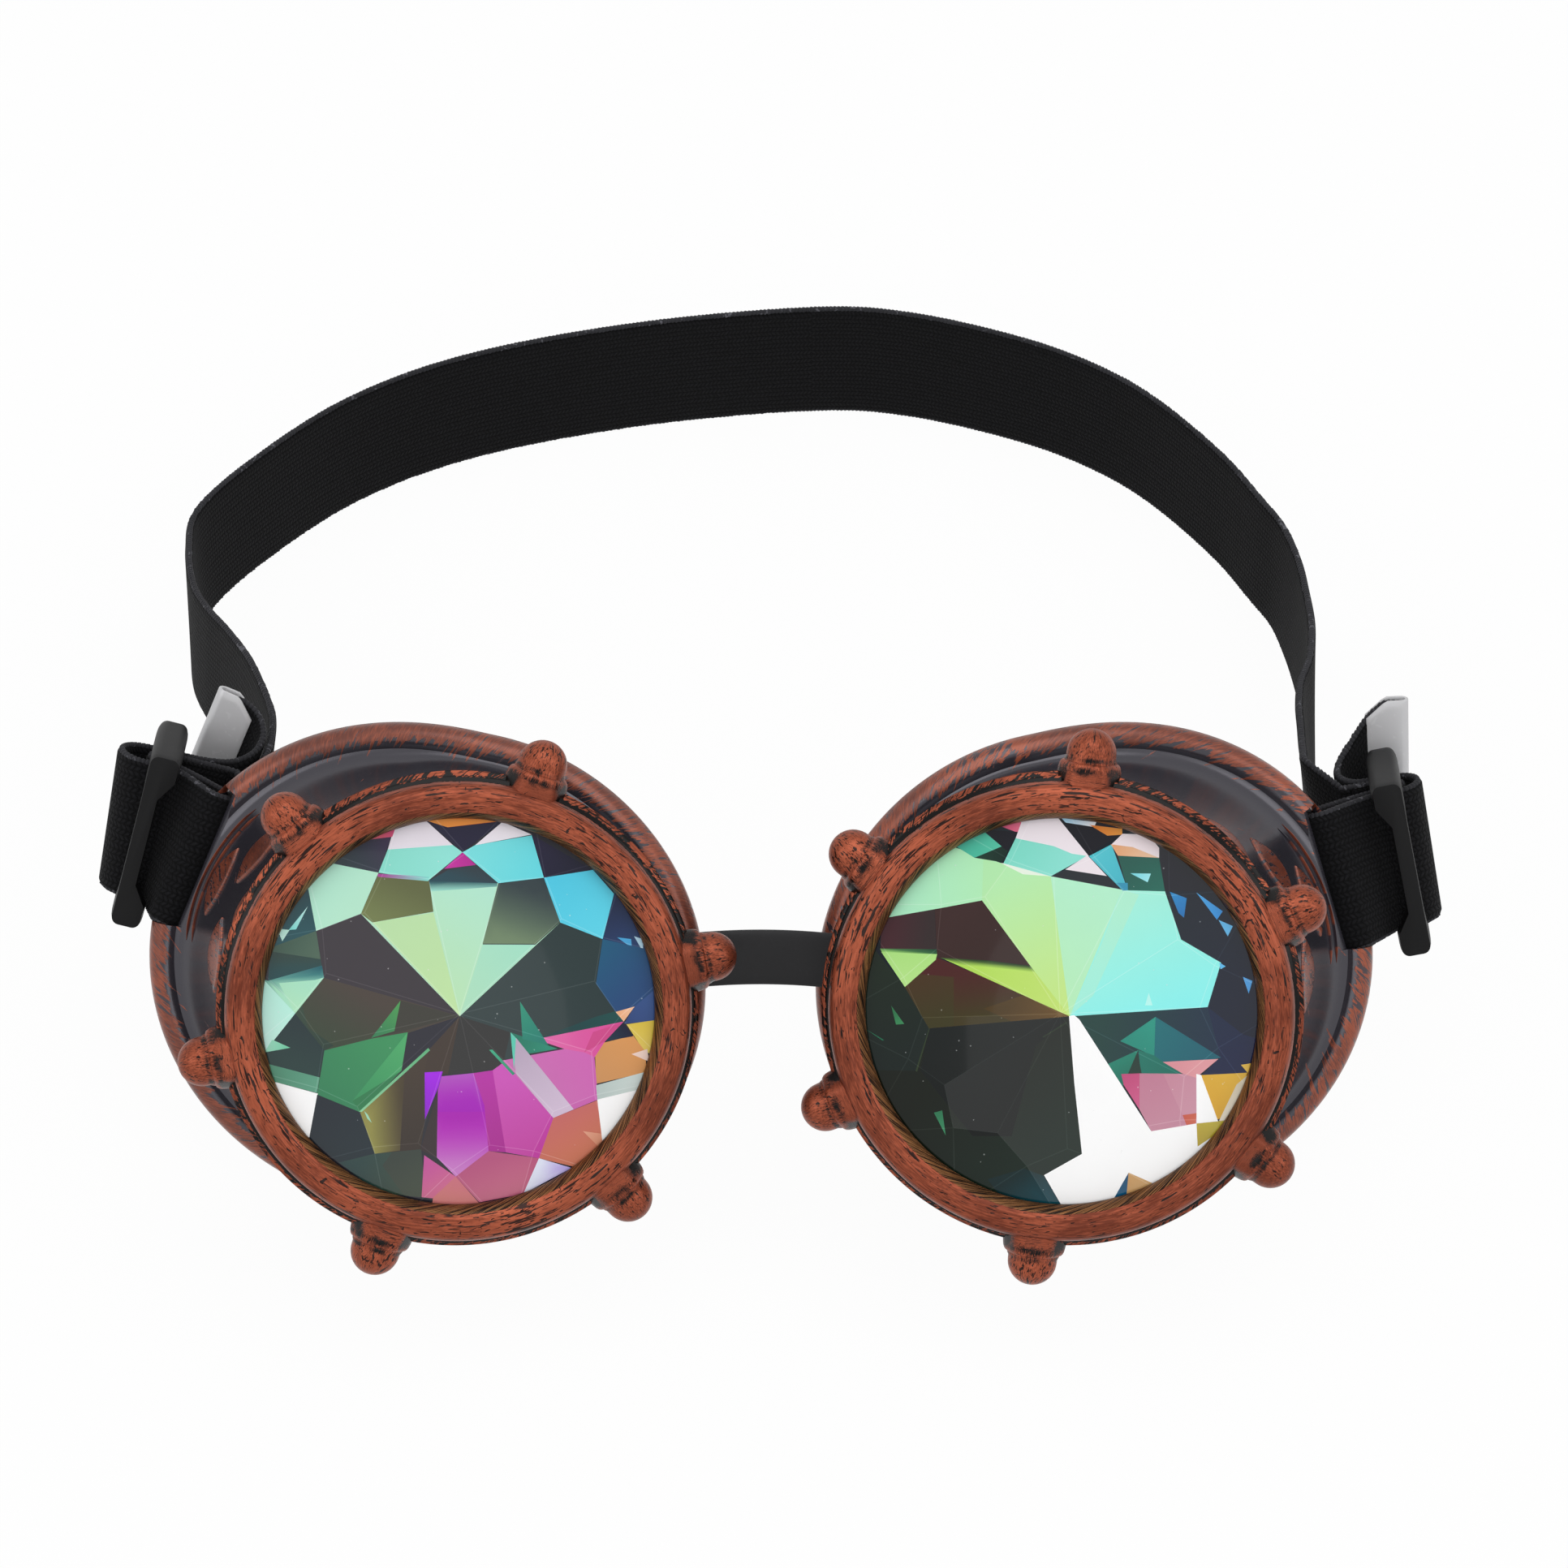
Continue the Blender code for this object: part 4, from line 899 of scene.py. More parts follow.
def cupSection(angle):
    # (depth, radius, rub) round the wall's section, from the collar over the rim and back inside.
    c, r = cup, cupRub
    front, shoulder, collar, wide = c["collarFront"], c["shoulderDepth"], screw["collarRadius"], c["shoulderRadius"]
    points = [(front, collar - c["collarEdge"], 0.0), (front + c["collarEdge"], collar, 0.0), (shoulder, collar, 0.0)]
    points += [(shoulder + past, wide - less, rub) for past, less, rub in c["shoulder"]]
    shares = [n / c["wallRows"] for n in range(c["wallRows"] + 1)]
    for share in shares:
        points.append((*wallPoint(angle, share), r["wall"] + r["valley"] * smoothStep(*r["valleySpan"], share)))
    depth, radius = beadCentre(angle)
    first, last = c["beadArc"]
    for n in range(1, c["beadRows"] + 1):
        share = n / c["beadRows"]
        turn = first + (last - first) * n / c["beadRows"]
        rub = r["beadStart"] + (1.0 - r["beadStart"]) * smoothStep(*r["beadSpan"], share)
        if share > r["beadBack"][0]:
            rub = 1.0 - (1.0 - r["beadEnd"]) * smoothStep(*r["beadBack"], share)
        points.append((depth + c["beadRadius"] * math.cos(turn), radius + c["beadRadius"] * math.sin(turn), rub))
    inner = [(*wallPoint(angle, share, -c["wallThick"]), 0.0) for share in shares[:-1]]
    kept = [point for point in reversed(inner) if point[0] < depth - c["insideEnd"] * c["beadRadius"]]
    points += [points[-1]] * (len(inner) - len(kept)) + kept
    return points + [(shoulder, collar - c["collarWall"], 0.0), (front, collar - c["collarWall"], 0.0)]


def barDirection(side):
    # The way of the rim's bar behind the strap slot, in the cup's frame.
    first, second = (beadPlace(side, slot["angle"][side] - math.radians(back)) for back in (6.0, 2.0))
    return (second - first).normalized()


def barMiddle(side):
    middle = slot["angle"][side]
    reach = math.asin(band["endWidth"] / 2 / beadCentre(middle)[1])
    low, mid, high = (beadPlace(side, middle + turn) for turn in (-reach, 0.0, reach))
    return (low + 2 * mid + high) / 4


def strapSlotTool(side):
    # What it leaves of the bead is a thin round bar on its outer side, straight like the strap.
    middleAngle = slot["angle"][side]
    lean = Vector((-math.cos(slot["lean"]), -math.sin(slot["lean"])))
    through = Vector((-lean.y, lean.x))
    spread = 2 * math.asin(slot["long"] / 2 / (beadCentre(middleAngle)[1] - slot["inset"]))
    start, along = barMiddle(side), barDirection(side)
    shift, deep, out = slot["barThin"] / 2, slot["deep"] / 2, -slot["ahead"]
    bar, wide = cup["beadRadius"] - shift, cup["beadRadius"] + slot["over"]
    far, step = bar - shift + slot["wide"], slot["step"]
    halfTurn = [math.radians(90.0) * (n / 6 - 1) for n in range(13)]
    outline = [(bar * math.cos(turn) - shift, bar * math.sin(turn)) for turn in halfTurn]
    outline += [(out, bar), (out, deep), (far, deep), (far, step)]
    outline += [(wide, step), (wide, -deep), (out, -deep), (out, -bar)]
    rings = []
    for n in range(slot["steps"] + 1):
        angle = middleAngle + slot["shift"] + spread * (n / slot["steps"] - 0.5)
        across, up = side * math.cos(angle), math.sin(angle)
        share = (start.y * across - start.x * up) / (along.x * up - along.y * across)
        spot = start + along * share
        middle = Vector((-spot.z, math.hypot(spot.x, spot.y)))
        rings.append([cupPlace(side, angle, *(middle + lean * a + through * b)) for a, b in outline])
    return skinned("strapSlotTool", rings, caps=True)


def noseSlotTool(side):
    inner, outer = noseSlot["reach"]
    return fromBmesh("noseSlotTool", boxBmesh(
        (outer - inner, noseSlot["tall"], noseSlot["thick"]),
        (-side * (inner + outer) / 2, noseSlot["lift"], -noseDepth())))


def leafPad(side, degrees, place):
    # A raised leaf, two arcs that meet in a point at each end, with a soft top.
    angle = math.radians(degrees)
    radius, run = wallPoint(angle, place)[1], wallRun(angle)
    rings = []
    for size, height in [pad["foot"]] + [(size, share * pad["high"]) for size, share in pad["layers"]]:
        ring = []
        for turn in turns(pad["steps"]):
            along = math.cos(turn) * pad["long"] / 2 * size
            across = math.copysign(1.0 - math.cos(turn) ** 2, math.sin(turn)) * pad["wide"] / 2 * size
            where, share = angle + along / radius, place + across / run
            ring.append(cupPlace(side, where, *wallPoint(where, min(max(share, 0.0), 1.0), height)))
        rings.append(ring)
    return skinned("leafPad", rings, 60, caps=True)


def wallRib(side, place):
    middleAngle = slot["angle"][side]
    half = rib["wide"] / 2 / wallRun(middleAngle)
    rings, (slope, least) = [], rib["fade"]
    for n in range(rib["steps"] + 1):
        angle = middleAngle + rib["span"] * (n / rib["steps"] - 0.5)
        fade = min(1.0, (0.5 - abs(n / rib["steps"] - 0.5)) * slope + least)
        ring = []
        for share, height in rib["section"]:
            rise = height if height < 0 else height * rib["high"] * fade
            ring.append(cupPlace(side, angle, *wallPoint(angle, place + share * half * fade, rise)))
        rings.append(ring)
    return skinned("wallRib", rings, 60, caps=True)


def markCup(thing, side, rub=None, stretch=1.0):
    # Flow runs round the lens axis and across the section; rub is fixed on pads and ribs.
    flow, zone, sections = [], [], {}
    for vertex in thing.data.vertices:
        place = vertex.co
        radius, depth = math.hypot(place.x, place.y), -place.z
        key = round(math.atan2(place.y, side * place.x) / math.tau * 720) % 720
        if key not in sections:
            points = cupSection(key / 720 * math.tau)
            line = [point[:2] for point in points]
            sections[key] = (line, lengthsAlong(line), [point[2] for point in points])
        line, lengths, rubs = sections[key]
        near, off = nearestOn(line, (depth, radius))
        flow.append((stretch * place.x / radius, stretch * place.y / radius, lengths[near] / mm))
        onWall = rubs[near] if off < cupRub["reach"] else 0.0
        zone.append((onWall if rub is None else rub, 0.0, 0.0))
    vectorAttribute(thing, "flow", flow)
    vectorAttribute(thing, "zone", zone)


def makeCup(label, side, coating):
    rings = [[cupPlace(side, angle, depth, radius) for depth, radius, rub in cupSection(angle)]
             for angle in turns(cup["steps"])]
    wall = skinned(f"{label}CupWall", rings, closed=True)
    for tool in (strapSlotTool(side), noseSlotTool(side)):
        cutBy(wall, tool)
    shadeBy(wall, 32)
    markCup(wall, side)
    turn = math.degrees(slot["angle"][side]) - pad["from"]
    pads = [leafPad(side, degrees + turn, share) for degrees, share in pad["places"]]
    ribs = [wallRib(side, share) for share in rib["places"]]
    ridge = threadRidge("cupThread", screw["collarRadius"], 0.0)
    for thing in pads:
        markCup(thing, side, cupRub["pad"])
    for thing in ribs:
        markCup(thing, side, cupRub["rib"], cupRub["ribStretch"])
    markCup(ridge, side, 0.0)
    made = joined(f"{label}CupDressed", [wall] + pads + ribs + [ridge])
    made.data.transform(cupFrame(side))
    setMaterial(made, coating)
    return finished(made, f"{label}_cup", "black_plastic", f"{label}_eyecup")


# Lenses: cut glass with twelve main facets, and fixed colours in each place: the coating's colours, with its
# reflections and the white seen through it painted in.
# A shard is a colour and its outline, or two colours, where the change between them starts and
# ends, and its outline: x and y of each corner in turn, in tenths of a millimetre from the lens's
# middle. Later shards lie over earlier ones.

lens = {
    "radius": 0.0250,
    "front": 0.0025,  # depth of the rim's front edge behind the lip
    "thick": 0.0020,
    "bevel": (0.0002, 0.992),  # depth of the front edge's bevel, and how far the back edge comes in
    "crown": (1.40, 0.60, 0.44, -0.02),  # millimetres of rise: middle, inner corners, outer corners, rim
    "corners": (17.0, 19.7, 24.98),  # millimetres from the middle: inner, outer, rim
    "facets": 12,
    "rimHalf": math.radians(4.5),
    "turn": {"left": math.radians(7.5), "right": math.radians(8.0)},
    "line": 0.055,  # half the width of a facet edge's painted highlight, millimetres
    "highlightLift": (0.05, 0.16),  # how much paler the painted highlight makes it: at least, and more for a bright colour
    "highlightReach": 24.5,
    "backRadius": 0.0135,
    "backRise": (0.00022, 0.00028),  # at the back rosette's corners and middle
    "backTones": ("26343a", "1c2a2c", "2f4a45", "202433", "3a3a2c", "1d3a41"),
    "seed": {"left": 11, "right": 23},
    "specks": 42,
    "speckReach": 22.5,
    "speckSize": (0.05, 0.06),  # smallest, and how much more the largest is
    "dust": (0.45, 0.5),  # a speck's own paleness, and the share of the colour below
    "grid": 1.25,  # spacing of the points between the outlines
    "gridReach": 23.8,
    "gridEdge": 24.0,
    "gridRow": 0.87,
    "gridJitter": 0.11,
}

seal = {
    "inner": 0.0236,
    "outer": 0.0250,
    "front": 0.0048,
    "thick": 0.0008,
    "steps": (128, 16),
}

# Shard colours: the coating's colours with painted reflections; the white shards are the pale ground seen through the
# glass, painted.
shards = {"left": (
    ("26262e", (-228,274, 277,225, 234,-279, -277,-225)),
    ("352f36", (-164,118, -108,134, 0,-3, -161,60)),
    ("453b34", "33402f", (-116,37, -156,-20), (-161,60, 0,-3, -69,-21, -168,-30, -199,19)),
    ("37362f", (0,-3, -76,-16, -110,-20, -70,23)),
    ("2b3a3b", "2c3c3d", (125,89, 21,-26), (0,-3, 133,99, 183,73, 170,19, 191,-19, 95,-42, 57,-64, 49,-62)),
    ("2c2c2c", (0,-3, 60,-30, 49,-64, 39,-73, -29,-75)),
    ("3d3129", (0,-3, -21,-74, -49,-69, -75,-64, -41,-41)),
    ("23232f", (0,-3, -65,-18, -75,-62, -41,-41)),
    ("b4e2c4", (-108,134, 0,-3, 133,99, 100,75, 36,82, 62,155, -22,167, -82,177)),
    ("5b6138", "6f7a48", (-59,171, -86,125), (-22,167, -21,156, -20,128, -95,122, -108,134, -82,181)),
    ("b9dfa8", "bfe3a4", (-56,126, -6,11), (-95,122, -20,127, 0,-3)),
    ("b0e6cf", "b8e4b8", (55,149, -11,34), (-21,155, 61,156, 36,82, 0,-3, -20,128)),
    ("11414c", "a0e2cf", (23,162, 22,150), (-22,168, 62,159, 60,151, -21,153)),
    ("a2e0c6", "aee0bf", (90,73, 8,5), (36,82, 100,75, 0,-3)),
    ("26363b", "6d8464", (96,145, 69,87), (62,155, 118,156, 133,99, 100,76, 36,83)),
    ("1f3039", "12424f", (28,178, 19,159), (2,177, 36,180, 62,155, -22,166)),
    ("c6249f", "b0108c", (2,180, 32,181), (-2,179, 22,197, 37,180)),
    ("86dccb", "8fe2d6", (-72,191, 4,203), (-82,182, -68,209, 11,207, 22,197, -22,167)),
    ("e6dfe8", (-68,209, -59,232, -19,240, 11,207)),
    ("a53a8f", "7fd8cc", (-80,179, -25,170), (-84,181, -51,176, -21,171, -23,166, -83,177)),
    ("7adfe0", "66d8e2", (41,199, 113,162), (22,197, 38,204, 108,209, 118,156, 62,155)),
    ("ece6ee", (38,204, 74,229, 108,210)),
    ("25233a", (-19,240, 22,198, 74,229, 71,242, -14,250)),
    ("e2762a", (-14,254, 72,245, 72,230, 7,229, -19,240)),
    ("e8913f", (7,229, -19,240, -15,242, 74,231, 40,230)),
    ("1d3038", "3a2c48", (-116,196, -65,225), (-82,182, -59,232, -91,225, -146,199)),
    ("e2636b", "d04a78", (-87,225, -59,232), (-93,223, -56,235, -61,224)),
    ("26223c", "1c1c30", (113,200, 158,161), (108,210, 118,156, 179,159)),
    ("aee6cf", "b4e6cb", (-154,188, -114,139), (-169,175, -139,199, -82,182, -108,134, -164,118)),
    ("50c9e4", "5ed4ea", (131,149, 182,83), (118,156, 179,159, 202,127, 183,73, 133,99)),
    ("202b4a", "28406c", (200,115, 225,63), (202,127, 183,73, 234,53, 255,60, 223,124)),
    ("4aa5d8", (201,73, 218,69, 218,58)),
    ("b9def2", (222,72, 233,67, 231,52)),
    ("205a7c", "284b7a", (186,67, 228,10), (183,73, 234,55, 251,11, 240,1, 215,-16, 191,-19, 170,19)),
    ("1f4e4c", "1a3b40", (188,-21, 102,-42), (167,-22, 192,-18, 201,-33, 102,-42, 91,-42)),
    ("f2b083", "f6c3a0", (195,-19, 211,-17), (191,-19, 215,-15, 200,-32)),
    ("3c5a92", "33497c", (238,-7, 205,-34), (215,-15, 240,2, 239,-36, 200,-35)),
    ("dcc047", "e2c860", (235,-41, 222,-66), (203,-36, 239,-35, 232,-79, 221,-70)),
    ("dc9a5c", "cf9560", (207,-57, 165,-99), (162,-57, 210,-51, 223,-72, 223,-99, 159,-106)),
    ("f0d4c8", (206,-74, 226,-70, 227,-86)),
    ("1b2038", "223a4c", (204,-45, 181,-54), (199,-34, 210,-52, 175,-54)),
    ("d94f9a", "e065a8", (194,-36, 102,-46), (90,-42, 200,-32, 175,-54, 160,-73, 148,-65, 124,-58)),
    ("cf4b8b", (148,-65, 161,-41, 198,-33, 175,-54)),
    ("cf63b4", "c96cb0", (152,-78, 88,-121), (47,-64, 124,-58, 148,-65, 160,-72, 160,-126, 103,-143, 64,-92)),
    ("17755f", "1f8a70", (69,-39, 101,-56), (60,-30, 116,-57, 65,-60)),
    ("2d9478", "167a6c", (75,2, 98,-48), (75,7, 105,-51, 74,-40)),
    ("b9a6bd", "d3bed6", (67,-58, 117,-136), (60,-30, 67,-39, 129,-135, 103,-143, 62,-82)),
    ("59c9b0", (60,-30, 66,-38, 60,-78)),
    ("b24fc0", "a404b8", (-11,-80, -10,-115), (-29,-76, 10,-76, 20,-118, 20,-176, -23,-204, -44,-177, -35,-93)),
    ("aa06b2", "c87cc6", (-12,-130, -17,-191), (-38,-120, 20,-126, 20,-176, -23,-204, -44,-177)),
    ("b62ba4", "a8208f", (15,-83, 30,-173), (10,-76, 34,-75, 37,-120, 41,-180, 20,-176, 20,-118)),
    ("cc52b8", "c03fa0", (53,-87, 75,-181), (34,-75, 49,-66, 103,-143, 81,-192, 41,-180, 37,-120)),
    ("a417e6", "8a10c8", (-44,-73, -49,-122), (-49,-69, -27,-70, -34,-89, -54,-128)),
    ("33282a", (-35,-93, -44,-178, -63,-166)),
    ("40342a", "352b24", (-59,-68, -66,-151), (-41,-40, -49,-69, -54,-128, -63,-166, -119,-165, -132,-111, -90,-80)),
    ("8f8b47", "453a26", (-120,-119, -80,-119), (-132,-111, -92,-82, -74,-70, -88,-164, -119,-165)),
    ("9fd8b8", (-127,-110, -123,-115, -119,-126, -124,-120)),
    ("37905a", "2e7f55", (-85,-27, -173,-83), (-168,-30, -111,-21, -65,-17, -77,-64, -132,-111, -182,-84)),
    ("4aa868", "36925c", (-74,-28, -125,-92), (-65,-17, -77,-64, -131,-102, -140,-96)),
    ("2c7a4c", (-140,-96, -77,-64, -126,-107, -132,-111)),
    ("4a9c52", "2d7a50", (-71,17, -103,-18), (-70,23, -81,-14, -110,-20)),
    ("162c30", "1c3836", (-194,7, -214,-40), (-199,19, -168,-30, -178,-63, -237,-41, -245,-20)),
    ("2f4436", "22382e", (-188,18, -164,-27), (-190,31, -185,0, -156,-25, -168,-30, -199,19)),
    ("b9efdf", "c6f0e4", (-208,20, -244,-11), (-235,67, -199,19, -241,-26, -256,-17, -249,58)),
    ("6cc8a0", "9ee0c4", (-212,-22, -234,-19), (-241,-26, -230,-11, -209,-23)),
    ("3d5a4c", "4a6453", (-192,109, -168,88), (-219,103, -164,118, -162,83, -223,97)),
    ("28403a", "13464c", (-194,90, -196,68), (-222,98, -162,83, -161,72, -228,62)),
    ("0f5a66", "a8e4c4", (-196,70, -197,53), (-228,62, -161,75, -160,60, -199,19, -233,64)),
    ("a6e2c4", "b0e6c0", (-182,55, -198,23), (-215,58, -171,58, -160,60, -199,19)),
    ("14424a", "1c525a", (-168,163, -199,110), (-169,175, -164,118, -219,103, -208,130)),
    ("7ee0d8", "c6f2ee", (-194,124, -173,145), (-197,122, -171,149, -188,122)),
    ("bfeee0", (-211,125, -196,122, -206,109)),
    ("4c8c70", "5a9c80", (-226,-47, -183,-74), (-237,-41, -177,-63, -182,-82, -234,-63)),
    ("ffffff", (-234,-63, -181,-83, -196,-138, -231,-103)),
    ("141f2a", "182830", (-174,-94, -142,-159), (-182,-84, -132,-111, -119,-165, -164,-172, -197,-138)),
    ("22403f", "39493a", (-144,-178, -75,-200), (-119,-165, -62,-165, -62,-227, -118,-215, -164,-172)),
    ("333d36", "404a3c", (-91,-172, -73,-220), (-111,-181, -98,-165, -62,-165, -62,-227, -88,-222)),
    ("c4529a", "cf6a90", (-55,-187, -42,-219), (-59,-173, -23,-204, -53,-229, -67,-226)),
    ("b4507c", "c66a86", (29,-184, 40,-232), (-23,-204, 20,-176, 81,-192, 60,-235, 3,-240)),
    ("cc7080", "d07a78", (-24,-209, -29,-232), (-23,-204, 4,-243, -55,-237, -53,-228)),
    ("c86c68", "cf7a5c", (108,-146, 134,-199), (103,-143, 159,-127, 162,-184, 129,-210, 81,-192)),
    ("e2a58c", "d88f70", (141,-165, 158,-182), (138,-164, 161,-170, 161,-185, 154,-184)),
    ("e4e8fa", "bba6ec", (84,-202, 110,-208), (81,-192, 120,-209, 58,-235)),
    ("ffffff", (159,-126, 215,-118, 206,-160, 161,-184)),
    ("b9c8c4", "d4e0dc", (164,-114, 214,-108), (159,-108, 223,-98, 216,-119, 159,-126)),
    ("3fae86", "2b8f70", (34,-49, 59,-82), (32,-49, 36,-49, 61,-82, 58,-84)),
    ("5fb07c", "8ccc9c", (-41,-41, -130,-110), (-42,-39, -40,-42, -130,-111, -133,-110)),
), "right": (
    ("0c1620", (-276,227, 229,275, 279,-227, -231,-280)),
    ("11170f", "14241c", (-85,-60, 7,-162), (-159,-36, 12,-2, 42,-173, -2,-206, 28,-249, -134,-266, -238,-113,
        -244,35, -193,12)),
    ("0d1413", "0b100f", (-117,-37, -48,-130), (-159,-36, 12,-2, -26,-43, -46,-160, -94,-165, -165,-90)),
    ("10282a", "0d4652", (-27,-203, -1,-237), (-2,-206, 28,-249, -37,-256, -71,-218, -27,-199)),
    ("17251a", "131f1c", (-228,29, -189,-71), (-236,56, -193,12, -159,-36, -171,-91, -240,-98, -251,34)),
    ("4a1c1c", "3d3414", (-124,40, -112,-15), (-193,12, -157,53, -97,35, 12,-2, -159,-36)),
    ("45311a", "3a3616", (-164,25, -144,-25), (-193,12, -179,30, -134,31, -129,-29, -159,-36)),
    ("4a3612", "66481a", (-67,-6, 0,-3), (-94,-4, -47,18, 12,-2, -59,-16)),
    ("3b2524", "331f1c", (-138,112, -80,55), (-165,113, -108,129, -40,53, -151,52, -157,53)),
    ("46222a", "332829", (-218,82, -169,79), (-230,93, -165,112, -158,58, -227,54)),
    ("13412e", "9fdc74", (-193,59, -193,53), (-228,56, -158,63, -157,56, -225,52)),
    ("aee382", "b6e68a", (-193,52, -192,18), (-226,52, -157,57, -158,50, -193,12)),
    ("b2dd58", "c2e270", (-117,48, -1,4), (-151,53, -95,53, -39,53, 12,-2)),
    ("1c3418", "a9d65a", (-95,55, -95,48), (-153,53, -95,56, -40,55, -35,48, -95,48, -125,47)),
    ("aeeec8", "b4eeb4", (-200,131, -72,126), (-230,93, -209,149, -155,192, -89,177, -65,172, -35,52, -40,53,
        -108,129, -165,112)),
    ("b4ecb0", "c4e886", (-83,161, -10,21), (-111,180, -27,167, 12,-2, -40,53, -108,129)),
    ("b2eecb", "b6eebc", (37,154, 5,23), (-27,167, 63,159, 12,-2)),
    ("e8f4e4", (-89,177, -84,177, -27,167, -61,166)),
    ("a2f0dc", "8af2ee", (83,148, 146,29), (61,159, 113,162, 138,105, 189,81, 178,25, 12,-2)),
    ("aeeed0", "a4f0dc", (54,138, 47,49), (61,159, 43,93, 12,-2, 38,26, 82,155)),
    ("b9f8f0", (102,20, 105,36, 111,21)),
    ("44b79c", "55c4a6", (-138,196, -94,200), (-147,192, -116,215, -87,199, -122,180)),
    ("16382c", "0f2a22", (-111,184, -87,190), (-122,180, -87,199, -82,192, -88,178)),
    ("18242c", (-146,197, -104,232, -67,234, -72,217, -116,215)),
    ("d94a78", "e4708c", (-100,224, -70,228), (-103,224, -65,238, -72,216)),
    ("15151f", (-116,215, -72,217, -84,193)),
    ("7edcc8", "8ee2d4", (-79,198, -3,191), (-74,209, -27,204, 15,196, -27,167, -86,177)),
    ("efe6ec", (-74,209, -66,240, -29,243, 17,196, -4,197, -27,204)),
    ("ece2e8", (-10,177, 15,197, 41,174)),
    ("16161f", (-29,243, 16,198, 55,227, 54,251)),
    ("9fd0ea", "f0f0f4", (-19,237, 19,235), (-21,239, 22,238, 20,232, -15,234)),
    ("d9782a", "e89a40", (19,231, 53,227), (14,234, 54,233, 55,226, 37,223)),
    ("4cc0cc", "3fb2c4", (29,201, 64,164), (17,196, 43,213, 68,159, 62,158)),
    ("f0e2e6", (43,213, 55,227, 86,229, 101,214, 102,202, 52,200)),
    ("e0a070", "ecc8a8", (47,210, 96,202), (42,213, 69,212, 102,202, 52,200)),
    ("0d5247", "126455", (59,197, 107,165), (52,200, 102,202, 113,162, 68,159)),
    ("6fd4e0", "9ae6ec", (72,180, 91,176), (69,180, 94,182, 91,171)),
    ("2a8fb0", (53,167, 67,168, 68,159, 62,158)),
    ("10121f", (101,215, 173,168, 113,162)),
    ("071524", "06122a", (129,127, 219,44), (113,162, 173,168, 239,68, 255,-26, 178,25, 189,81, 138,105)),
    ("2385c4", "1a6cb0", (126,159, 138,135), (119,162, 140,156, 139,132, 132,137)),
    ("4aa8e8", "3290dc", (155,162, 180,135), (151,164, 185,144, 179,133)),
    ("63b9ec", (181,133, 199,127, 194,114)),
    ("4fa2e6", (217,66, 229,62, 226,46)),
    ("5ab8ea", (187,81, 195,77, 189,73)),
    ("0d3b36", "0c2440", (49,-6, 209,-12), (12,-2, 178,25, 224,-5, 199,-36, 131,-48, 84,-84, 61,-58)),
    ("081c3c", "0a1640", (193,5, 231,-39), (178,25, 224,-5, 254,-11, 258,-48, 201,-57, 179,-60, 199,-35)),
    ("1f9480", "1a8a78", (111,0, 92,-27), (116,7, 76,-27, 119,-42)),
    ("0b6a72", "0a5c6c", (123,-2, 182,-35), (116,7, 200,-36, 165,-48, 131,-48, 119,-41)),
    ("15806a", "0f6a58", (72,-55, 85,-76), (62,-58, 99,-36, 84,-83)),
    ("0e7262", "0a6a5c", (108,-41, 140,-60), (99,-36, 119,-41, 131,-48, 155,-60, 105,-67)),
    ("16332a", (98,-38, 106,-66, 89,-67)),
    ("c04878", "cc5a88", (85,-72, 104,-100), (81,-68, 103,-65, 107,-110, 85,-81)),
    ("c48498", "cc94a6", (111,-70, 164,-116), (103,-65, 172,-59, 178,-121, 124,-136, 107,-110)),
    ("c07c94", "c68a9e", (107,-70, 138,-123), (103,-65, 132,-63, 160,-112, 166,-123, 124,-136, 107,-110)),
    ("c85a48", "d06a52", (163,-113, 175,-121), (160,-112, 177,-108, 177,-121, 166,-124)),
    ("d88c96", "e09aa0", (139,-49, 176,-56), (130,-48, 197,-38, 172,-64, 155,-60)),
    ("deb03a", "d8a42e", (221,-59, 196,-98), (178,-60, 234,-52, 221,-103, 201,-115)),
    ("e6bc4a", (225,-43, 249,-37, 250,-50, 235,-53)),
    ("d8cdb4", "e6dcc8", (226,-66, 215,-107), (222,-68, 237,-52, 235,-87, 213,-117, 205,-115)),
    ("ffffff", (172,-59, 178,-60, 204,-116, 178,-121)),
    ("ffffff", (11,-2, 17,0, 24,-5, 124,-136, 178,-121, 182,-149, 207,-129, 228,-124, 196,-180, 127,-239, 28,-249,
        -2,-205, 42,-173, 25,-86)),
    ("bfae3c", "b8a238", (201,-120, 188,-140), (178,-121, 223,-112, 207,-129, 182,-150)),
    ("0f4a6e", "0d5a80", (99,-197, 92,-228), (101,-191, 84,-230, 82,-244, 112,-240, 102,-222)),
    ("c89a62", "d2a870", (104,-197, 124,-213), (101,-191, 136,-203, 126,-231, 101,-227)),
    ("2a6a44", "3a8a58", (-205,-17, -194,-34), (-208,-13, -190,-34, -200,-36)),
    ("2d7450", "3a8a60", (-142,-140, -130,-161), (-144,-141, -134,-137, -127,-168)),
    ("1e6a4c", (-237,-46, -213,-57, -215,-58)),
    ("2c3a24", (-159,-36, -158,-36, -169,-92, -171,-91)),
    ("20301c", (9,-9, 9,-11, -18,-32, -19,-31)),
)}


def pairs(numbers):
    return [(x / 10, y / 10) for x, y in zip(numbers[::2], numbers[1::2])]


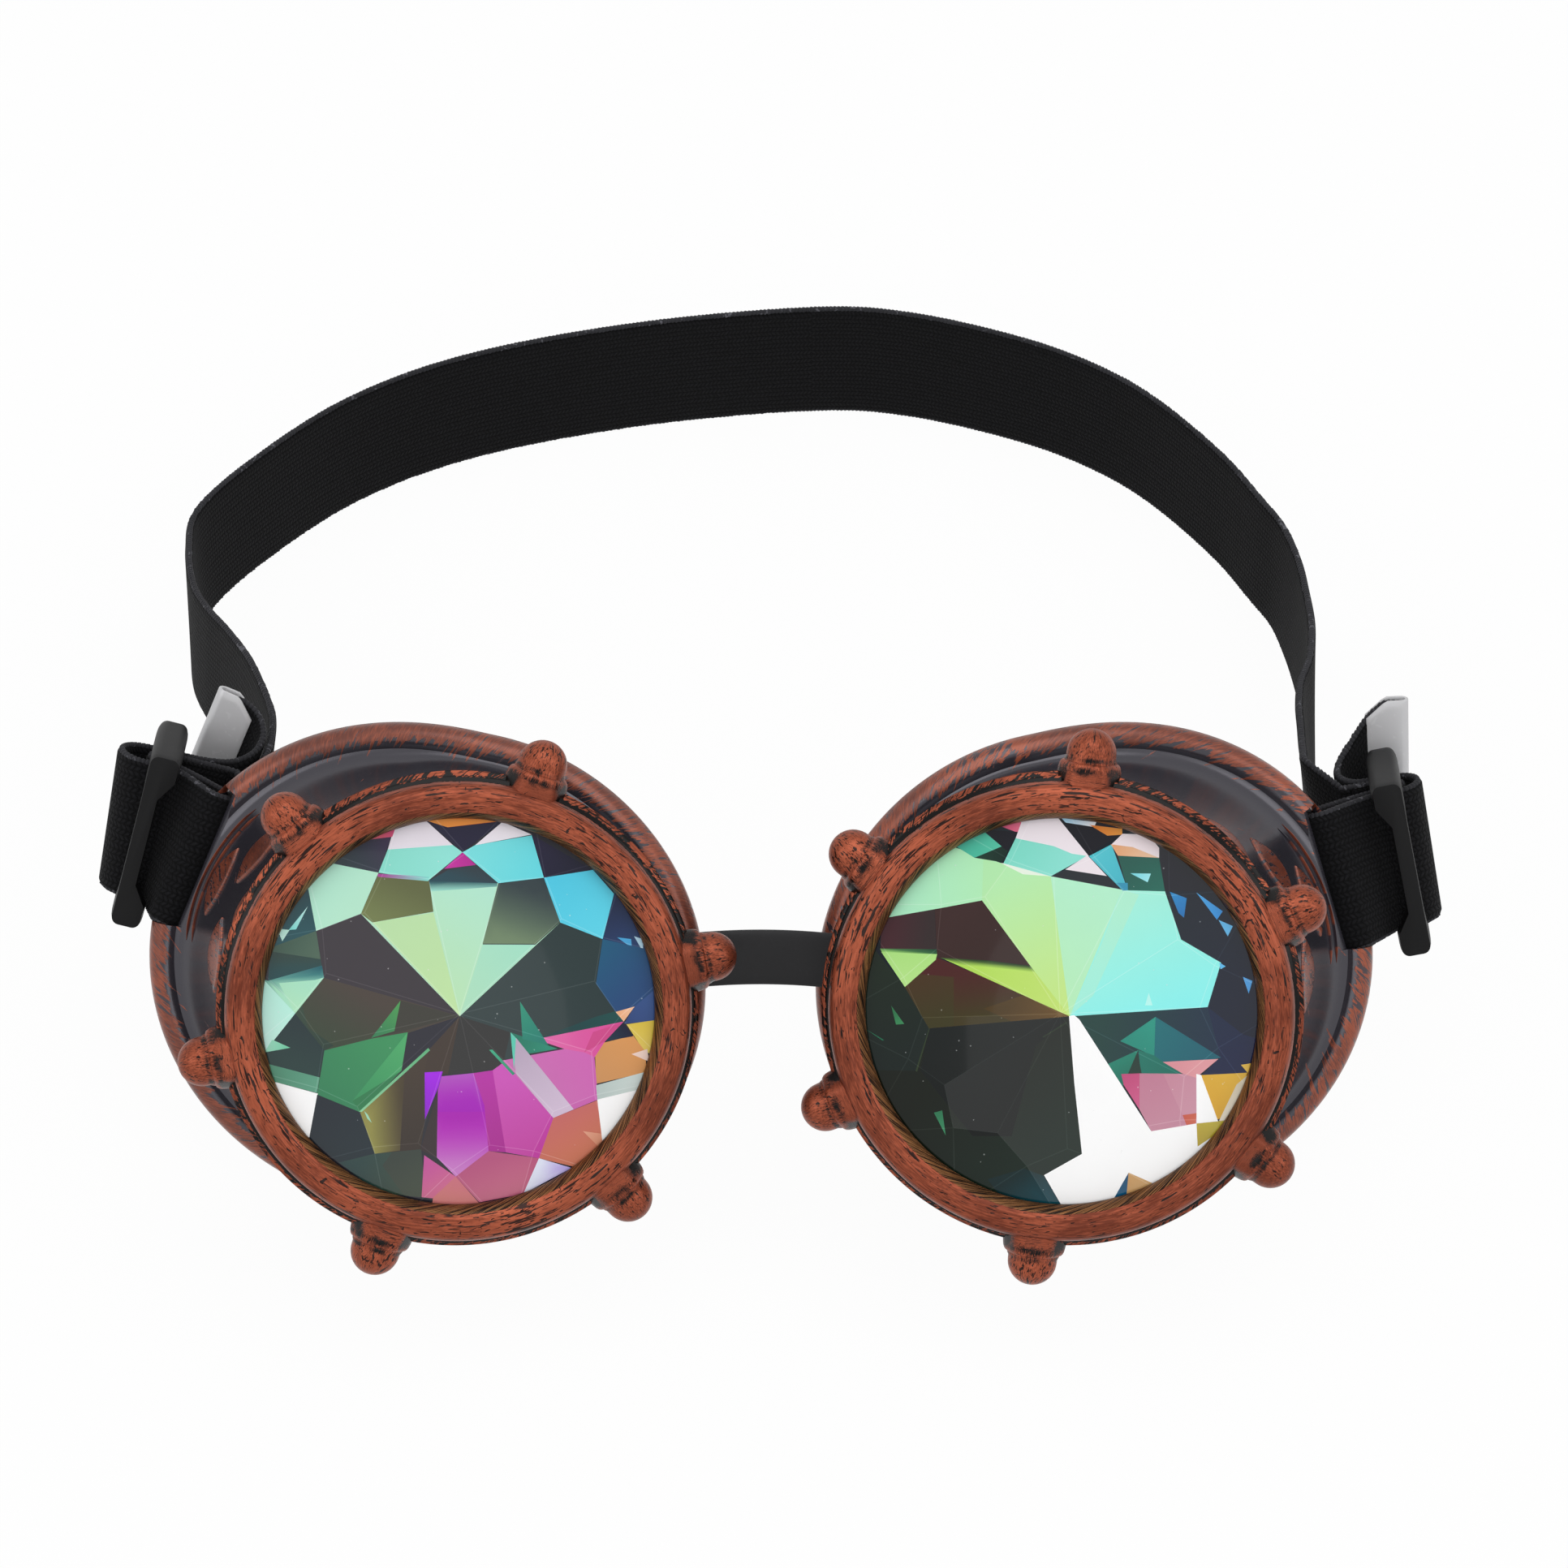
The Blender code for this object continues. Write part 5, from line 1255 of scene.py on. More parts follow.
def lensFacets(turn):
    # Corner lists (x, y, rise) in millimetres of the twelve kites, pentagons and rim triangles.
    inner, outer, rim = lens["corners"]
    mid, innerRise, outerRise, rimRise = lens["crown"]

    def corner(radius, angle, rise):
        return radius * math.cos(angle), radius * math.sin(angle), rise

    step, half = math.tau / lens["facets"], lens["rimHalf"]
    facets = []
    for k in range(lens["facets"]):
        here = turn + k * step
        following = here + step
        innerHere, innerNext = corner(inner, here, innerRise), corner(inner, following, innerRise)
        before, after = corner(outer, here - step / 2, outerRise), corner(outer, here + step / 2, outerRise)
        rimLeft, rimRight = corner(rim, here - half, rimRise), corner(rim, here + half, rimRise)
        facets.append(((0.0, 0.0, mid), innerHere, after, innerNext))
        facets.append((innerHere, before, rimLeft, rimRight, after))
        facets.append((after, rimRight, corner(rim, following - half, rimRise)))
    return facets


def facetPlane(facet):
    # Rise as a + b x + c y, through the facet's first, second and last corners.
    p, q, r = (Vector(facet[n]) for n in (0, 1, -1))
    normal = (q - p).cross(r - p)
    return (p.dot(normal)) / normal.z, -normal.x / normal.z, -normal.y / normal.z


def shardColour(shard, x, y):
    # Screen colour (0 to 1) of a shard at a point.
    if len(shard) == 2:
        return hexShares(shard[0])
    first, second, change = shard[:3]
    (xa, ya), (xb, yb) = pairs(change)
    run = (xb - xa) ** 2 + (yb - ya) ** 2
    share = min(max(((x - xa) * (xb - xa) + (y - ya) * (yb - ya)) / run, 0.0), 1.0)
    return tuple(a * (1 - share) + b * share for a, b in zip(hexShares(first), hexShares(second)))


def pointColour(shard, x, y, onEdgeHighlight, speck):
    # Linear colour of a point, paler on a facet's edge, where a highlight is painted, and on a speck of dust.
    screen = shardColour(shard, x, y)
    # A painted highlight along the facet edges
    if onEdgeHighlight:
        lift = lens["highlightLift"][0] + lens["highlightLift"][1] * max(screen)
        screen = tuple(min(1.0, c + (1.0 - c) * lift) for c in screen)
    if speck:
        screen = tuple(lens["dust"][0] + lens["dust"][1] * c for c in screen)
    return tuple(toLinear(c) for c in screen) + (1.0,)


def edgeHighlightStrips(facets):
    # A thin strip along each edge between two facets, for a painted highlight.
    strips, seen = [], set()
    for facet in facets:
        for a, b in zip(facet, facet[1:] + facet[:1]):
            key = tuple(sorted(tuple(round(c, 3) for c in end) for end in (a, b)))
            if key in seen or min(math.hypot(*a[:2]), math.hypot(*b[:2])) > lens["highlightReach"]:
                continue
            seen.add(key)
            across = Vector((b[1] - a[1], a[0] - b[0])).normalized() * lens["line"]
            p, q = Vector(a[:2]), Vector(b[:2])
            strips.append((p - across, q - across, q + across, p + across))
    return strips


def dustSpecks(chance):
    small, more = lens["speckSize"]
    specks = []
    for n in range(lens["specks"]):
        reach, angle = lens["speckReach"] * math.sqrt(chance.random()), math.tau * chance.random()
        size = small + more * chance.random()
        x, y = reach * math.cos(angle), reach * math.sin(angle)
        specks.append([(x + size * math.cos(turn), y + size * math.sin(turn)) for turn in turns(5)])
    return specks


def gridPoints(chance):
    size, edge, jitter, points = lens["grid"], lens["gridEdge"], lens["gridJitter"], []
    row, y = 0, -edge
    while y < edge:
        x = -edge + (row % 2) * size / 2
        while x < edge:
            if math.hypot(x, y) < lens["gridReach"]:
                points.append(Vector((x + jitter * chance.uniform(-1, 1), y + jitter * chance.uniform(-1, 1))))
            x += size
        y += size * lens["gridRow"]
        row += 1
    return points


def lensFront(label, bm, colours):
    # Cuts the facets by the shards, and gives each small triangle's corners their colour.
    facets = lensFacets(lens["turn"][label])
    chance = random.Random(lens["seed"][label])
    points, polygons, kinds = [], [], []

    def addPolygons(kind, outlines):
        for n, outline in enumerate(outlines):
            corners = [tuple(point[:2]) for point in outline]
            area = sum(a[0] * b[1] - b[0] * a[1] for a, b in zip(corners, corners[1:] + corners[:1]))
            polygons.append(list(range(len(points), len(points) + len(corners))))
            points.extend(Vector(corner) for corner in (corners if area > 0 else reversed(corners)))
            kinds.append((kind, n))

    addPolygons("facet", facets)
    addPolygons("shard", [pairs(shard[-1]) for shard in shards[label]])
    addPolygons("line", edgeHighlightStrips(facets))
    addPolygons("speck", dustSpecks(chance))
    points += gridPoints(chance)

    found = delaunay_2d_cdt(points, [], polygons, 1, 0.0005, True)
    flat, triangles, sources = found[0], found[2], found[5]
    made = [None] * len(flat)
    planes = [facetPlane(facet) for facet in facets]
    count = 0
    for triangle, source in zip(triangles, sources):
        within = {kind: [n for other, n in (kinds[s] for s in source) if other == kind]
                  for kind in ("facet", "shard", "line", "speck")}
        if not within["facet"]:
            continue
        base, slopeX, slopeY = planes[within["facet"][0]]
        shard = shards[label][max(within["shard"], default=0)]
        for index in triangle:
            if made[index] is None:
                x, y = flat[index]
                made[index] = bm.verts.new(Vector((x, y, base + slopeX * x + slopeY * y)) * mm)
        try:
            face = bm.faces.new([made[index] for index in triangle])
        except ValueError:  # two of its corners are one point
            continue
        count += 1
        for loop, index in zip(face.loops, triangle):
            loop[colours] = pointColour(shard, *flat[index], within["line"], within["speck"])
    return count


def lensBack(label, bm, rim):
    # A shallow rosette of the same cut, from the back edge of the rim to the middle.
    step, turn, reach = math.tau / lens["facets"], lens["turn"][label], lens["backRadius"]
    rises = [-lens["thick"] - rise for rise in lens["backRise"]]
    corners = []
    for k in range(lens["facets"]):
        angle = turn + k * step
        corners.append(bm.verts.new((reach * math.cos(angle), reach * math.sin(angle), rises[0])))
    middle = bm.verts.new((0.0, 0.0, rises[1]))

    def nearestCorner(vertex):
        angle = (math.atan2(vertex.co.y, vertex.co.x) - turn) % math.tau
        return corners[int(angle / step + 0.5) % lens["facets"]]

    ordered = sorted({vertex for edge in rim for vertex in edge.verts}, key=lambda v: math.atan2(v.co.y, v.co.x))
    for a, b in zip(ordered, ordered[1:] + ordered[:1]):
        first, second = nearestCorner(a), nearestCorner(b)
        bm.faces.new((a, first, b))
        if first != second:
            bm.faces.new((first, second, b))
    for first, second in zip(corners, corners[1:] + corners[:1]):
        bm.faces.new((first, second, middle))


def makeLens(label, side, glass):
    bm = bmesh.new()
    # Corner colours: the coating's colours with painted reflections and painted edge highlights
    colours = bm.loops.layers.float_color.new("coating")
    count = lensFront(label, bm, colours)
    bmesh.ops.remove_doubles(bm, verts=bm.verts, dist=0.0000005)
    for face in bm.faces:
        if face.normal.z < 0:
            face.normal_flip()
    rim = [edge for edge in bm.edges if len(edge.link_faces) == 1]
    bevel, backSize = lens["bevel"]
    for drop, size in ((bevel, 1.0), (lens["thick"] - bevel, 1.0), (lens["thick"], backSize)):
        made = bmesh.ops.extrude_edge_only(bm, edges=rim)["geom"]
        rim = [item for item in made if isinstance(item, bmesh.types.BMEdge)]
        for vertex in {vertex for edge in rim for vertex in edge.verts}:
            reach = math.hypot(vertex.co.x, vertex.co.y)
            vertex.co.x *= lens["radius"] * size / reach
            vertex.co.y *= lens["radius"] * size / reach
            vertex.co.z = -drop
    lensBack(label, bm, rim)
    tones = [hexColour(tone) for tone in lens["backTones"]]
    for face in bm.faces:
        middle = face.calc_center_median()
        if middle.z < -0.0001:
            sector = math.atan2(middle.y, middle.x) % math.tau / math.tau * 24
            for loop in face.loops:
                loop[colours] = tones[int(sector) % 6]
    mesh = bpy.data.meshes.new(f"{label}LensDressed")
    bmesh.ops.recalc_face_normals(bm, faces=bm.faces)
    bm.to_mesh(mesh)
    bm.free()
    made = newObject(f"{label}LensDressed", mesh)
    made.data.shade_flat()
    made.data.transform(cupFrame(side) @ Matrix.Translation((0, 0, -lens["front"])))
    setMaterial(made, glass)
    print("lens", label, count, "small triangles")
    return finished(made, f"{label}_lens", "coated_glass", f"{label}_crystal_lens")


def makeSeal(label, side, rubber):
    # A soft ring behind the lens, round at its edges.
    middle, half, deep = (seal["inner"] + seal["outer"]) / 2, (seal["outer"] - seal["inner"]) / 2, seal["thick"] / 2
    section = [(seal["front"] + deep + deep * softPower(math.sin(turn), 0.6),
                middle + half * softPower(math.cos(turn), 0.5)) for turn in turns(seal["steps"][1])]
    rings = [[cupPlace(1, angle, *point) for point in section] for angle in turns(seal["steps"][0])]
    made = skinned(f"{label}SealDressed", rings, 60, closed=True)
    made.data.transform(cupFrame(side))
    setMaterial(made, rubber)
    return finished(made, f"{label}_lens", "soft_black", f"{label}_lens_seal")


# Elastic: the headband, and the two ends that run through the sliders and round the rims

band = {
    "width": 0.0203,
    "endWidth": 0.0190,  # where it is drawn together in the sliders and slots
    "narrowing": (0.002, 0.045),  # metres from an end
    "thick": 0.0011,
    "edgeBead": 0.00048,  # radius of a stitch along the edge
    "beadPitch": 0.00058,
    "beadLean": 0.45,
    "tuck": 1.9,  # the body is narrower than the stitched edges by this many bead radii
    "across": 14,
    "edgeRound": 0.6,  # how long the rounded edge is for its thickness
    "splits": 7,
    "step": 0.0011,
    "endStep": 0.00055,
    "halves": 0.0071,  # x of the place where the two halves meet, at the back
}

slider = {
    # where its middle is from the rim's bar, then its upward and its rearward direction
    "offset": {-1: (0.00680, 0.00718, -0.00072), 1: (0.00890, 0.00658, -0.00132)},
    "lean": {-1: (0.27, 0.45, 0.85), 1: (0.21, 0.45, 0.85)},
    "rear": (0.13, 0.70, -0.70),
    "bar": 0.0026,
    "window": 0.0046,
    "windowTall": 0.0195,
    "windowCorner": 0.0009,
    "side": 0.0020,
    "tall": 0.0236,
    "railThick": 0.0022,
    "endThick": 0.0041,
    "endLong": 0.0031,
    "slope": 0.0027,
    "corner": 0.0011,
    "soft": 0.00035,
    "thinner": (0.10, 6),  # how much thinner and lower the two sides are, and how suddenly
    "lower": (0.012, 4),
    "frontRail": -0.6,  # where the front rail starts, in half widths from the middle
    "railShift": 0.00082,
    "steps": 12,
}

# The strap's ends in a slider's frame: outboard, to the rear and up
loops = {
    "play": 0.00015,
    "rimPlay": 0.00025,
    "rimShift": 0.7,  # the loop round the rim is this much of the bar's cut further out and back
    "outerTurn": {-1: 0.0017, 1: 0.0006},
    "flare": {-1: 0.095, 1: 0.03},  # how far the outer turn's upper edge stands out
    "flareFrom": -0.001,
    "layerFoot": 0.0012,
    "outerFoot": -0.3,  # where the outer turn starts, in layer feet
    "frontFoot": (-0.0019, -0.0034),
    "rearFoot": (-0.0019, -0.0019),
    "join": {-1: 0.0080, 1: 0.0045},
    "gap": 0.0001,
    "lead": 0.0010,
    "steps": (16, 28, 20),  # of the inner turn, the turn round the rim and the outer turn
    "tailLean": {-1: (0.46, 0.38, 0.80), 1: (-0.06, 0.42, 0.90)},
    "tail": {
        -1: ((-0.0030, 0.00335, 0.0), (-0.0056, 0.0036, 0.0001), (-0.0082, 0.0042, 0.0006),
             (-0.0100, 0.0058, 0.0020), (-0.0102, 0.0082, 0.0038), (-0.0088, 0.0102, 0.0056),
             (-0.0066, 0.0110, 0.0069), (-0.0044, 0.0112, 0.0072)),
        1: ((-0.0020, 0.00335, 0.0), (-0.0042, 0.0037, 0.0001), (-0.0060, 0.0054, 0.0006),
            (-0.0062, 0.0080, 0.0016), (-0.0046, 0.0102, 0.0034), (-0.0020, 0.0114, 0.0062),
            (0.0002, 0.0119, 0.0075), (0.0020, 0.0120, 0.0072)),
    },
}

# x, y and height of the band's lower edge, then how far it leans in x and in y, in millimetres
# and hundredths, from the left slider round to the right one
headbandRoute = (
    (-69.5, -30.7, 21.8, 24, 35), (-67.0, -28.2, 20.8, 21, 31), (-65.8, -22.9, 19.6, 18, 28),
    (-65.7, -16.3, 17.7, 15, 22), (-66.5, -10.7, 16.0, 12, 18), (-69.8, 0.5, 12.8, 10, 12),
    (-73.7, 10.1, 9.6, 8, 8), (-77.2, 17.4, 7.1, 8, 5), (-79.8, 25.2, 4.6, 6, 2),
    (-81.3, 36.2, 1.9, 3, 0), (-80.6, 46.0, 0.3, 0, 0), (-73.3, 57.2, 0, 0, 0),
    (-60.4, 70.4, 0, 0, 0), (-43.4, 80.1, 0, 0, 0), (-19.0, 87.2, 0, 0, 0), (7.1, 90.8, 0, 0, 0),
    (22.1, 89.5, 0, 0, 0), (38.9, 83.5, 0, 0, 0), (49.9, 76.9, 0, 0, 0), (57.9, 69.3, 0, 0, 0),
    (66.2, 57.8, 0, 0, 0), (71.1, 48.4, 0, 0, 0), (74.0, 42.3, 0, 0, 0), (75.5, 34.8, 0.6, 0, 0),
    (76.1, 27.5, 1.6, -2, 2), (76.3, 18.3, 3.6, -4, 4), (75.5, 8.1, 6.6, -8, 8),
    (73.9, 0.5, 9.3, -12, 10), (73.1, -6.5, 11.8, -14, 12), (72.8, -13.5, 14.5, -16, 16),
    (72.6, -21.6, 17.9, -20, 22), (72.9, -26.5, 20.4, -23, 30),
)


def sliderFrame(side):
    # Middle, then outboard through the windows, back across them and up along the bar.
    lean, back, offset = slider["lean"][side], slider["rear"], slider["offset"][side]
    up = Vector((-side * lean[0], lean[1], lean[2])).normalized()
    rear = Vector((side * back[0], back[1], back[2]))
    rear = (rear - up * rear.dot(up)).normalized()
    out = (rear.cross(up) * side).normalized()
    return cupFrame(side) @ barMiddle(side) + Vector((side * offset[0], offset[1], offset[2])), out, rear, up


def innerLayer():
    return slider["bar"] / 2 + loops["play"] + band["thick"] / 2


def headbandStations():
    # Each station is a point and the upward direction there.
    ends = {}
    for side in sides.values():
        centre, out, rear, up = sliderFrame(side)
        start = centre - out * (loops["join"][side] + loops["gap"]) + rear * innerLayer()
        lead = start - out * loops["lead"]
        lean = (up.x / up.z, up.y / up.z)
        edge = Vector((0.0, 0.0, up.z * band["width"] / 2))
        ends[side] = [(*(start - edge), *lean), (*(lead - edge), *lean)]
    middle = [(x * mm, y * mm, z * mm, a / 100, b / 100) for x, y, z, a, b in headbandRoute]
    route = [ends[-1][0], *smoothLine([ends[-1][1], *middle, ends[1][1]], band["splits"]), ends[1][0]]
    stations = []
    for x, y, z, leanX, leanY in route:
        up = Vector((leanX, leanY, 1.0)).normalized()
        stations.append((Vector((x, y, max(z, 0.0) + up.z * band["width"] / 2)), up))
    return stations


def touchAngle(point, centre, radius, way):
    offset = point - centre
    return math.atan2(offset.y, offset.x) + way * math.acos(radius / offset.length)


def arc(centre, radius, first, last, steps):
    angles = [first + (last - first) * n / steps for n in range(steps + 1)]
    return [Vector((centre[0] + radius * math.cos(angle), centre[1] + radius * math.sin(angle))) for angle in angles]


def strapEndRoute(side, bead):
    # From the headband's join round the slider's bar, in round the rim and back out: a place, how
    # far it follows the rim's bar instead of the slider's, and the flare.
    inner = innerLayer()
    outer = inner + band["thick"] + loops["play"]
    radius = cup["beadRadius"] - slot["barThin"] / 2 + loops["rimPlay"] + band["thick"] / 2
    quarter, foot = math.pi / 2, loops["layerFoot"]
    innerSteps, rimSteps, outerSteps = loops["steps"]
    rearFoot, frontFoot = Vector(loops["rearFoot"]), Vector(loops["frontFoot"])
    route = [(Vector((-loops["join"][side], inner)), 0.0, 0.0), (Vector((-foot, inner)), 0.0, 0.0)]
    route += [(p, 0.0, 0.0) for p in arc((0.0, 0.0), inner, quarter, -quarter, innerSteps)]
    route.append((rearFoot, 0.1, 0.0))
    start, end = touchAngle(rearFoot, bead, radius, 1), touchAngle(frontFoot, bead, radius, -1)
    while end < start:
        end += math.tau
    route += [(p, 1.0, 0.0) for p in arc(bead, radius, start, end, rimSteps)]
    route += [(frontFoot, 0.1, 0.0), (Vector((loops["outerFoot"] * foot, -outer)), 0.0, 0.0)]
    return route + [(p, 0.0, loops["flare"][side] * smoothStep(loops["flareFrom"], outer, p.x))
                    for p in arc((loops["outerTurn"][side], 0.0), outer, -quarter, quarter, outerSteps)]


def strapEndStations(side):
    # The route in the model's frame, and on to the end of the tail.
    centre, out, rear, up = sliderFrame(side)
    place = cupFrame(side)
    bar = place @ barMiddle(side)
    barUp = (place.to_3x3() @ barDirection(side)).normalized()
    shift = loops["rimShift"] * slot["barThin"] / 2
    bead = Vector(((bar - centre).dot(out), (bar - centre).dot(rear))) + Vector((shift, shift))
    drop = (bar - centre).dot(up)
    stations = []
    for point, share, flare in strapEndRoute(side, bead):
        lean = (up * (1.0 - share) + barUp * share + out * flare).normalized()
        spot = centre + out * point.x + rear * point.y + up * (drop * share)
        spot -= barUp * (share * (spot - bar).dot(barUp))
        stations.append((spot, lean))
    last = Vector(loops["tailLean"][side]).normalized()
    tail = loops["tail"][side]
    for n, (outboard, back, rise) in enumerate(tail):
        share = smoothStep(0.5, len(tail) - 2.0, float(n))
        stations.append((centre + out * outboard + rear * back + up * rise, up.lerp(last, share).normalized()))
    return stations


def evenStations(stations, step):
    # The same line with stations at even steps, bends rounded.
    rows = smoothLine([(*point, *up) for point, up in stations], 6)
    lengths = lengthsAlong([row[:3] for row in rows])
    count = max(2, round(lengths[-1] / step))
    made, n = [], 0
    for k in range(count + 1):
        want = lengths[-1] * k / count
        while n < len(rows) - 2 and lengths[n + 1] < want:
            n += 1
        share = (want - lengths[n]) / max(lengths[n + 1] - lengths[n], 1e-9)
        row = [a + (b - a) * share for a, b in zip(rows[n], rows[n + 1])]
        made.append((Vector(row[:3]), Vector(row[3:]).normalized()))
    return made


def bandSection(width, thick):
    # Half-rounded section as (across, side) pairs, a long side and an edge, then the other two.
    side, count = thick / 2, band["across"]
    edge = band["edgeRound"] * side
    flat = width / 2 - edge
    half = [(-flat + 2 * flat * n / count, side) for n in range(count + 1)]
    for n in range(1, 6):
        turn = math.pi / 2 - math.pi * n / 6
        half.append((flat + edge * math.cos(turn), side * math.sin(turn)))
    return half + [(-a, -b) for a, b in half]


def bandSides(stations):
    across = []
    for n, (point, up) in enumerate(stations):
        before, after = stations[max(n - 1, 0)][0], stations[min(n + 1, len(stations) - 1)][0]
        across.append((after - before).normalized().cross(up).normalized())
    return across


def bandMesh(name, stations, widths, start):
    # A closed band along the stations, with a UV map in millimetres along and across.
    section = bandSection(widths[0], band["thick"])
    lengths = lengthsAlong([point for point, up in stations], start)
    around = lengthsAlong(section + section[:1])
    bm = bmesh.new()
    layer = bm.loops.layers.uv.new("knit")
    rows = []
    for (point, up), side, width in zip(stations, bandSides(stations), widths):
        rows.append([bm.verts.new(point + up * (a * width / widths[0]) + side * b) for a, b in section])
    count = len(section)
    for n in range(len(rows) - 1):
        for k in range(count):
            j = (k + 1) % count
            face = bm.faces.new((rows[n][k], rows[n][j], rows[n + 1][j], rows[n + 1][k]))
            for loop, (m, r) in zip(face.loops, ((n, k), (n, k + 1), (n + 1, k + 1), (n + 1, k))):
                loop[layer].uv = (lengths[m] / mm, around[r] / mm)
    for row, length in ((rows[0], lengths[0]), (rows[-1], lengths[-1])):
        face = bm.faces.new(row)
        for loop, (a, b) in zip(face.loops, section):
            loop[layer].uv = (length / mm + b / mm, a / mm)
    return fromBmesh(name, bm, 50, merge=False)


def makeStitchTree():
    # Geometry Nodes: small leaning stitches along a line of edges.
    tree, given = geometryTree("edgeStitches", {"Pitch": "Float", "Radius": "Float", "Stretch": "Float",
                                                "Lean": "Float", "Seed": "Int", "Material": "Material"})
    curve = outOf(tree, "GeometryNodeMeshToCurve", {"Mesh": given["Geometry"]})
    points = addNode(tree, "GeometryNodeCurveToPoints", {
        "Curve": curve, "Length": given["Pitch"]}, mode="LENGTH").outputs
    ball = outOf(tree, "GeometryNodeMeshUVSphere", {"Segments": 6, "Rings": 4, "Radius": given["Radius"]})
    soft = outOf(tree, "GeometryNodeSetShadeSmooth", {"Geometry": ball})
    uneven = addNode(tree, "FunctionNodeRandomValue", {
        2: 0.86, 3: 1.12, "Seed": given["Seed"]}, data_type="FLOAT").outputs[1]
    size = outOf(tree, "ShaderNodeCombineXYZ", {"X": uneven, "Y": 1.0, "Z": given["Stretch"]})
    copies = outOf(tree, "GeometryNodeInstanceOnPoints", {
        "Points": points["Points"], "Instance": soft, "Rotation": points["Rotation"], "Scale": size})
    lean = outOf(tree, "ShaderNodeCombineXYZ", {"X": given["Lean"], "Y": times(given["Lean"], 0.6)})
    turned = outOf(tree, "GeometryNodeRotateInstances", {"Instances": copies, "Rotation": lean})
    return endTree(tree, turned, given["Material"])


def edgeStitches(name, stations, widths, stitchTree, thread, seed):
    # Both edges of a band as rows of stitches.
    rows = []
    for way in (-1, 1):
        mesh = bpy.data.meshes.new(name)
        points = [point + up * (way * (width / 2 - band["edgeBead"])) for (point, up), width in zip(stations, widths)]
        mesh.from_pydata(points, [(n, n + 1) for n in range(len(points) - 1)], [])
        rows.append(runTree(newObject(name, mesh), stitchTree, Pitch=band["beadPitch"], Radius=band["edgeBead"],
                            Stretch=1.0, Lean=band["beadLean"] * way, Seed=seed + way, Material=thread))
    return rows


def dressedBand(name, stations, widths, stitchTree, knit, thread, seed, start=0.0):
    # The body, a little narrower than its stitched edges, and the stitches.
    body = bandMesh(name, stations, [width - band["tuck"] * band["edgeBead"] for width in widths], start)
    setMaterial(body, knit)
    return joined(name, [body] + edgeStitches(name, stations, widths, stitchTree, thread, seed))


def makeHeadband(stitchTree, knit, thread):
    # Two halves that meet at the back.
    stations = evenStations(headbandStations(), band["step"])
    lengths = lengthsAlong([point for point, up in stations])
    narrow, wide = band["endWidth"], band["width"]
    inside = [min(length, lengths[-1] - length) for length in lengths]
    widths = [narrow + (wide - narrow) * smoothStep(*band["narrowing"], length) for length in inside]
    middle = min(range(len(stations)), key=lambda n: abs(stations[n][0].x - band["halves"]))
    spans = {"left": slice(0, middle + 1), "right": slice(middle, None)}
    made = []
    for label, side in sides.items():
        span = spans[label]
        half = dressedBand(f"{label}HeadbandDressed", stations[span], widths[span],
                           stitchTree, knit, thread, 3 + side, lengths[span.start])
        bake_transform(half)
        made.append(half)
    for half in made:
        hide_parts("headband")


def makeStrapEnd(label, side, stitchTree, knit, thread):
    stations = evenStations(strapEndStations(side), band["endStep"])
    widths = [band["endWidth"]] * len(stations)
    made = dressedBand(f"{label}StrapEndDressed", stations, widths, stitchTree, knit, thread, 20 + side)
    return finished(made, f"{label}_cup", "knitted_elastic", f"{label}_strap_end")


# Sliders: two windows, a bar, and thicker ends that slope into thin rails


def sliderOutline():
    # (thickness, height) round its section: rounded corners, thick end, slope, thin rail.
    half, rail, end, corner = slider["tall"] / 2, slider["railThick"] / 2, slider["endThick"] / 2, slider["corner"]
    block = half - slider["endLong"]
    profile = [(0.0, half), ((end - corner) * 0.5, half)]
    for n in range(7):
        turn = math.pi / 2 * n / 6
        profile.append((end - corner + corner * math.sin(turn), half - corner + corner * math.cos(turn)))
    profile += [(end, block), ((end + rail) / 2, block - slider["slope"] * 0.5), (rail, block - slider["slope"])]
    profile += [(t, -h) for t, h in reversed(profile)]
    return profile + [(-t, h) for t, h in reversed(profile[1:-1])]


def makeSlider(label, side, black):
    s = slider
    wide = s["bar"] + 2 * s["window"] + 2 * s["side"]
    (thinner, thinPower), (lower, lowPower) = s["thinner"], s["lower"]
    block, rail, end = s["tall"] / 2 - s["endLong"] + 1e-6, s["railThick"] / 2, s["endThick"] / 2
    rings = []
    for n in range(s["steps"] + 1):
        across = -wide / 2 + wide * n / s["steps"]
        edge = abs(across) / (wide / 2)
        shrink, low = 1.0 - thinner * edge ** thinPower, 1.0 - lower * edge ** lowPower
        ring = []
        for t, h in sliderOutline():
            # The front rail lies flush with the outboard face of the blocks.
            onRail = abs(h) < block and across < s["frontRail"] * wide / 2
            rise = min(1.0, (end - abs(t)) / (end - rail)) if onRail else 0.0
            ring.append(Vector((t * shrink + side * s["railShift"] * rise, across, h * low)))
        rings.append(ring)
    made = skinned(f"{label}SliderDressed", rings, caps=True)
    for way in (-1, 1):
        bm = boxBmesh((0.02, s["window"], s["windowTall"]), (0, way * (s["bar"] + s["window"]) / 2, 0))
        through = [edge for edge in bm.edges if abs(edge.verts[0].co.x - edge.verts[1].co.x) > 0.01]
        bmesh.ops.bevel(bm, geom=through, offset=s["windowCorner"], segments=4, affect="EDGES", profile=0.5)
        cutBy(made, fromBmesh("window", bm))
    addModifier(made, "BEVEL", width=s["soft"], segments=3, limit_method="ANGLE", angle_limit=math.radians(38),
                use_clamp_overlap=True)
    applied(made)
    shadeBy(made, 40)
    centre, out, rear, up = sliderFrame(side)
    made.data.transform(Matrix.Translation(centre) @ Matrix((out * side, rear, up)).transposed().to_4x4())
    setMaterial(made, black)
    return finished(made, f"{label}_buckle", "slider_black", f"{label}_slider")


# Clips: a folded nickel sheet over the end of the elastic's tail

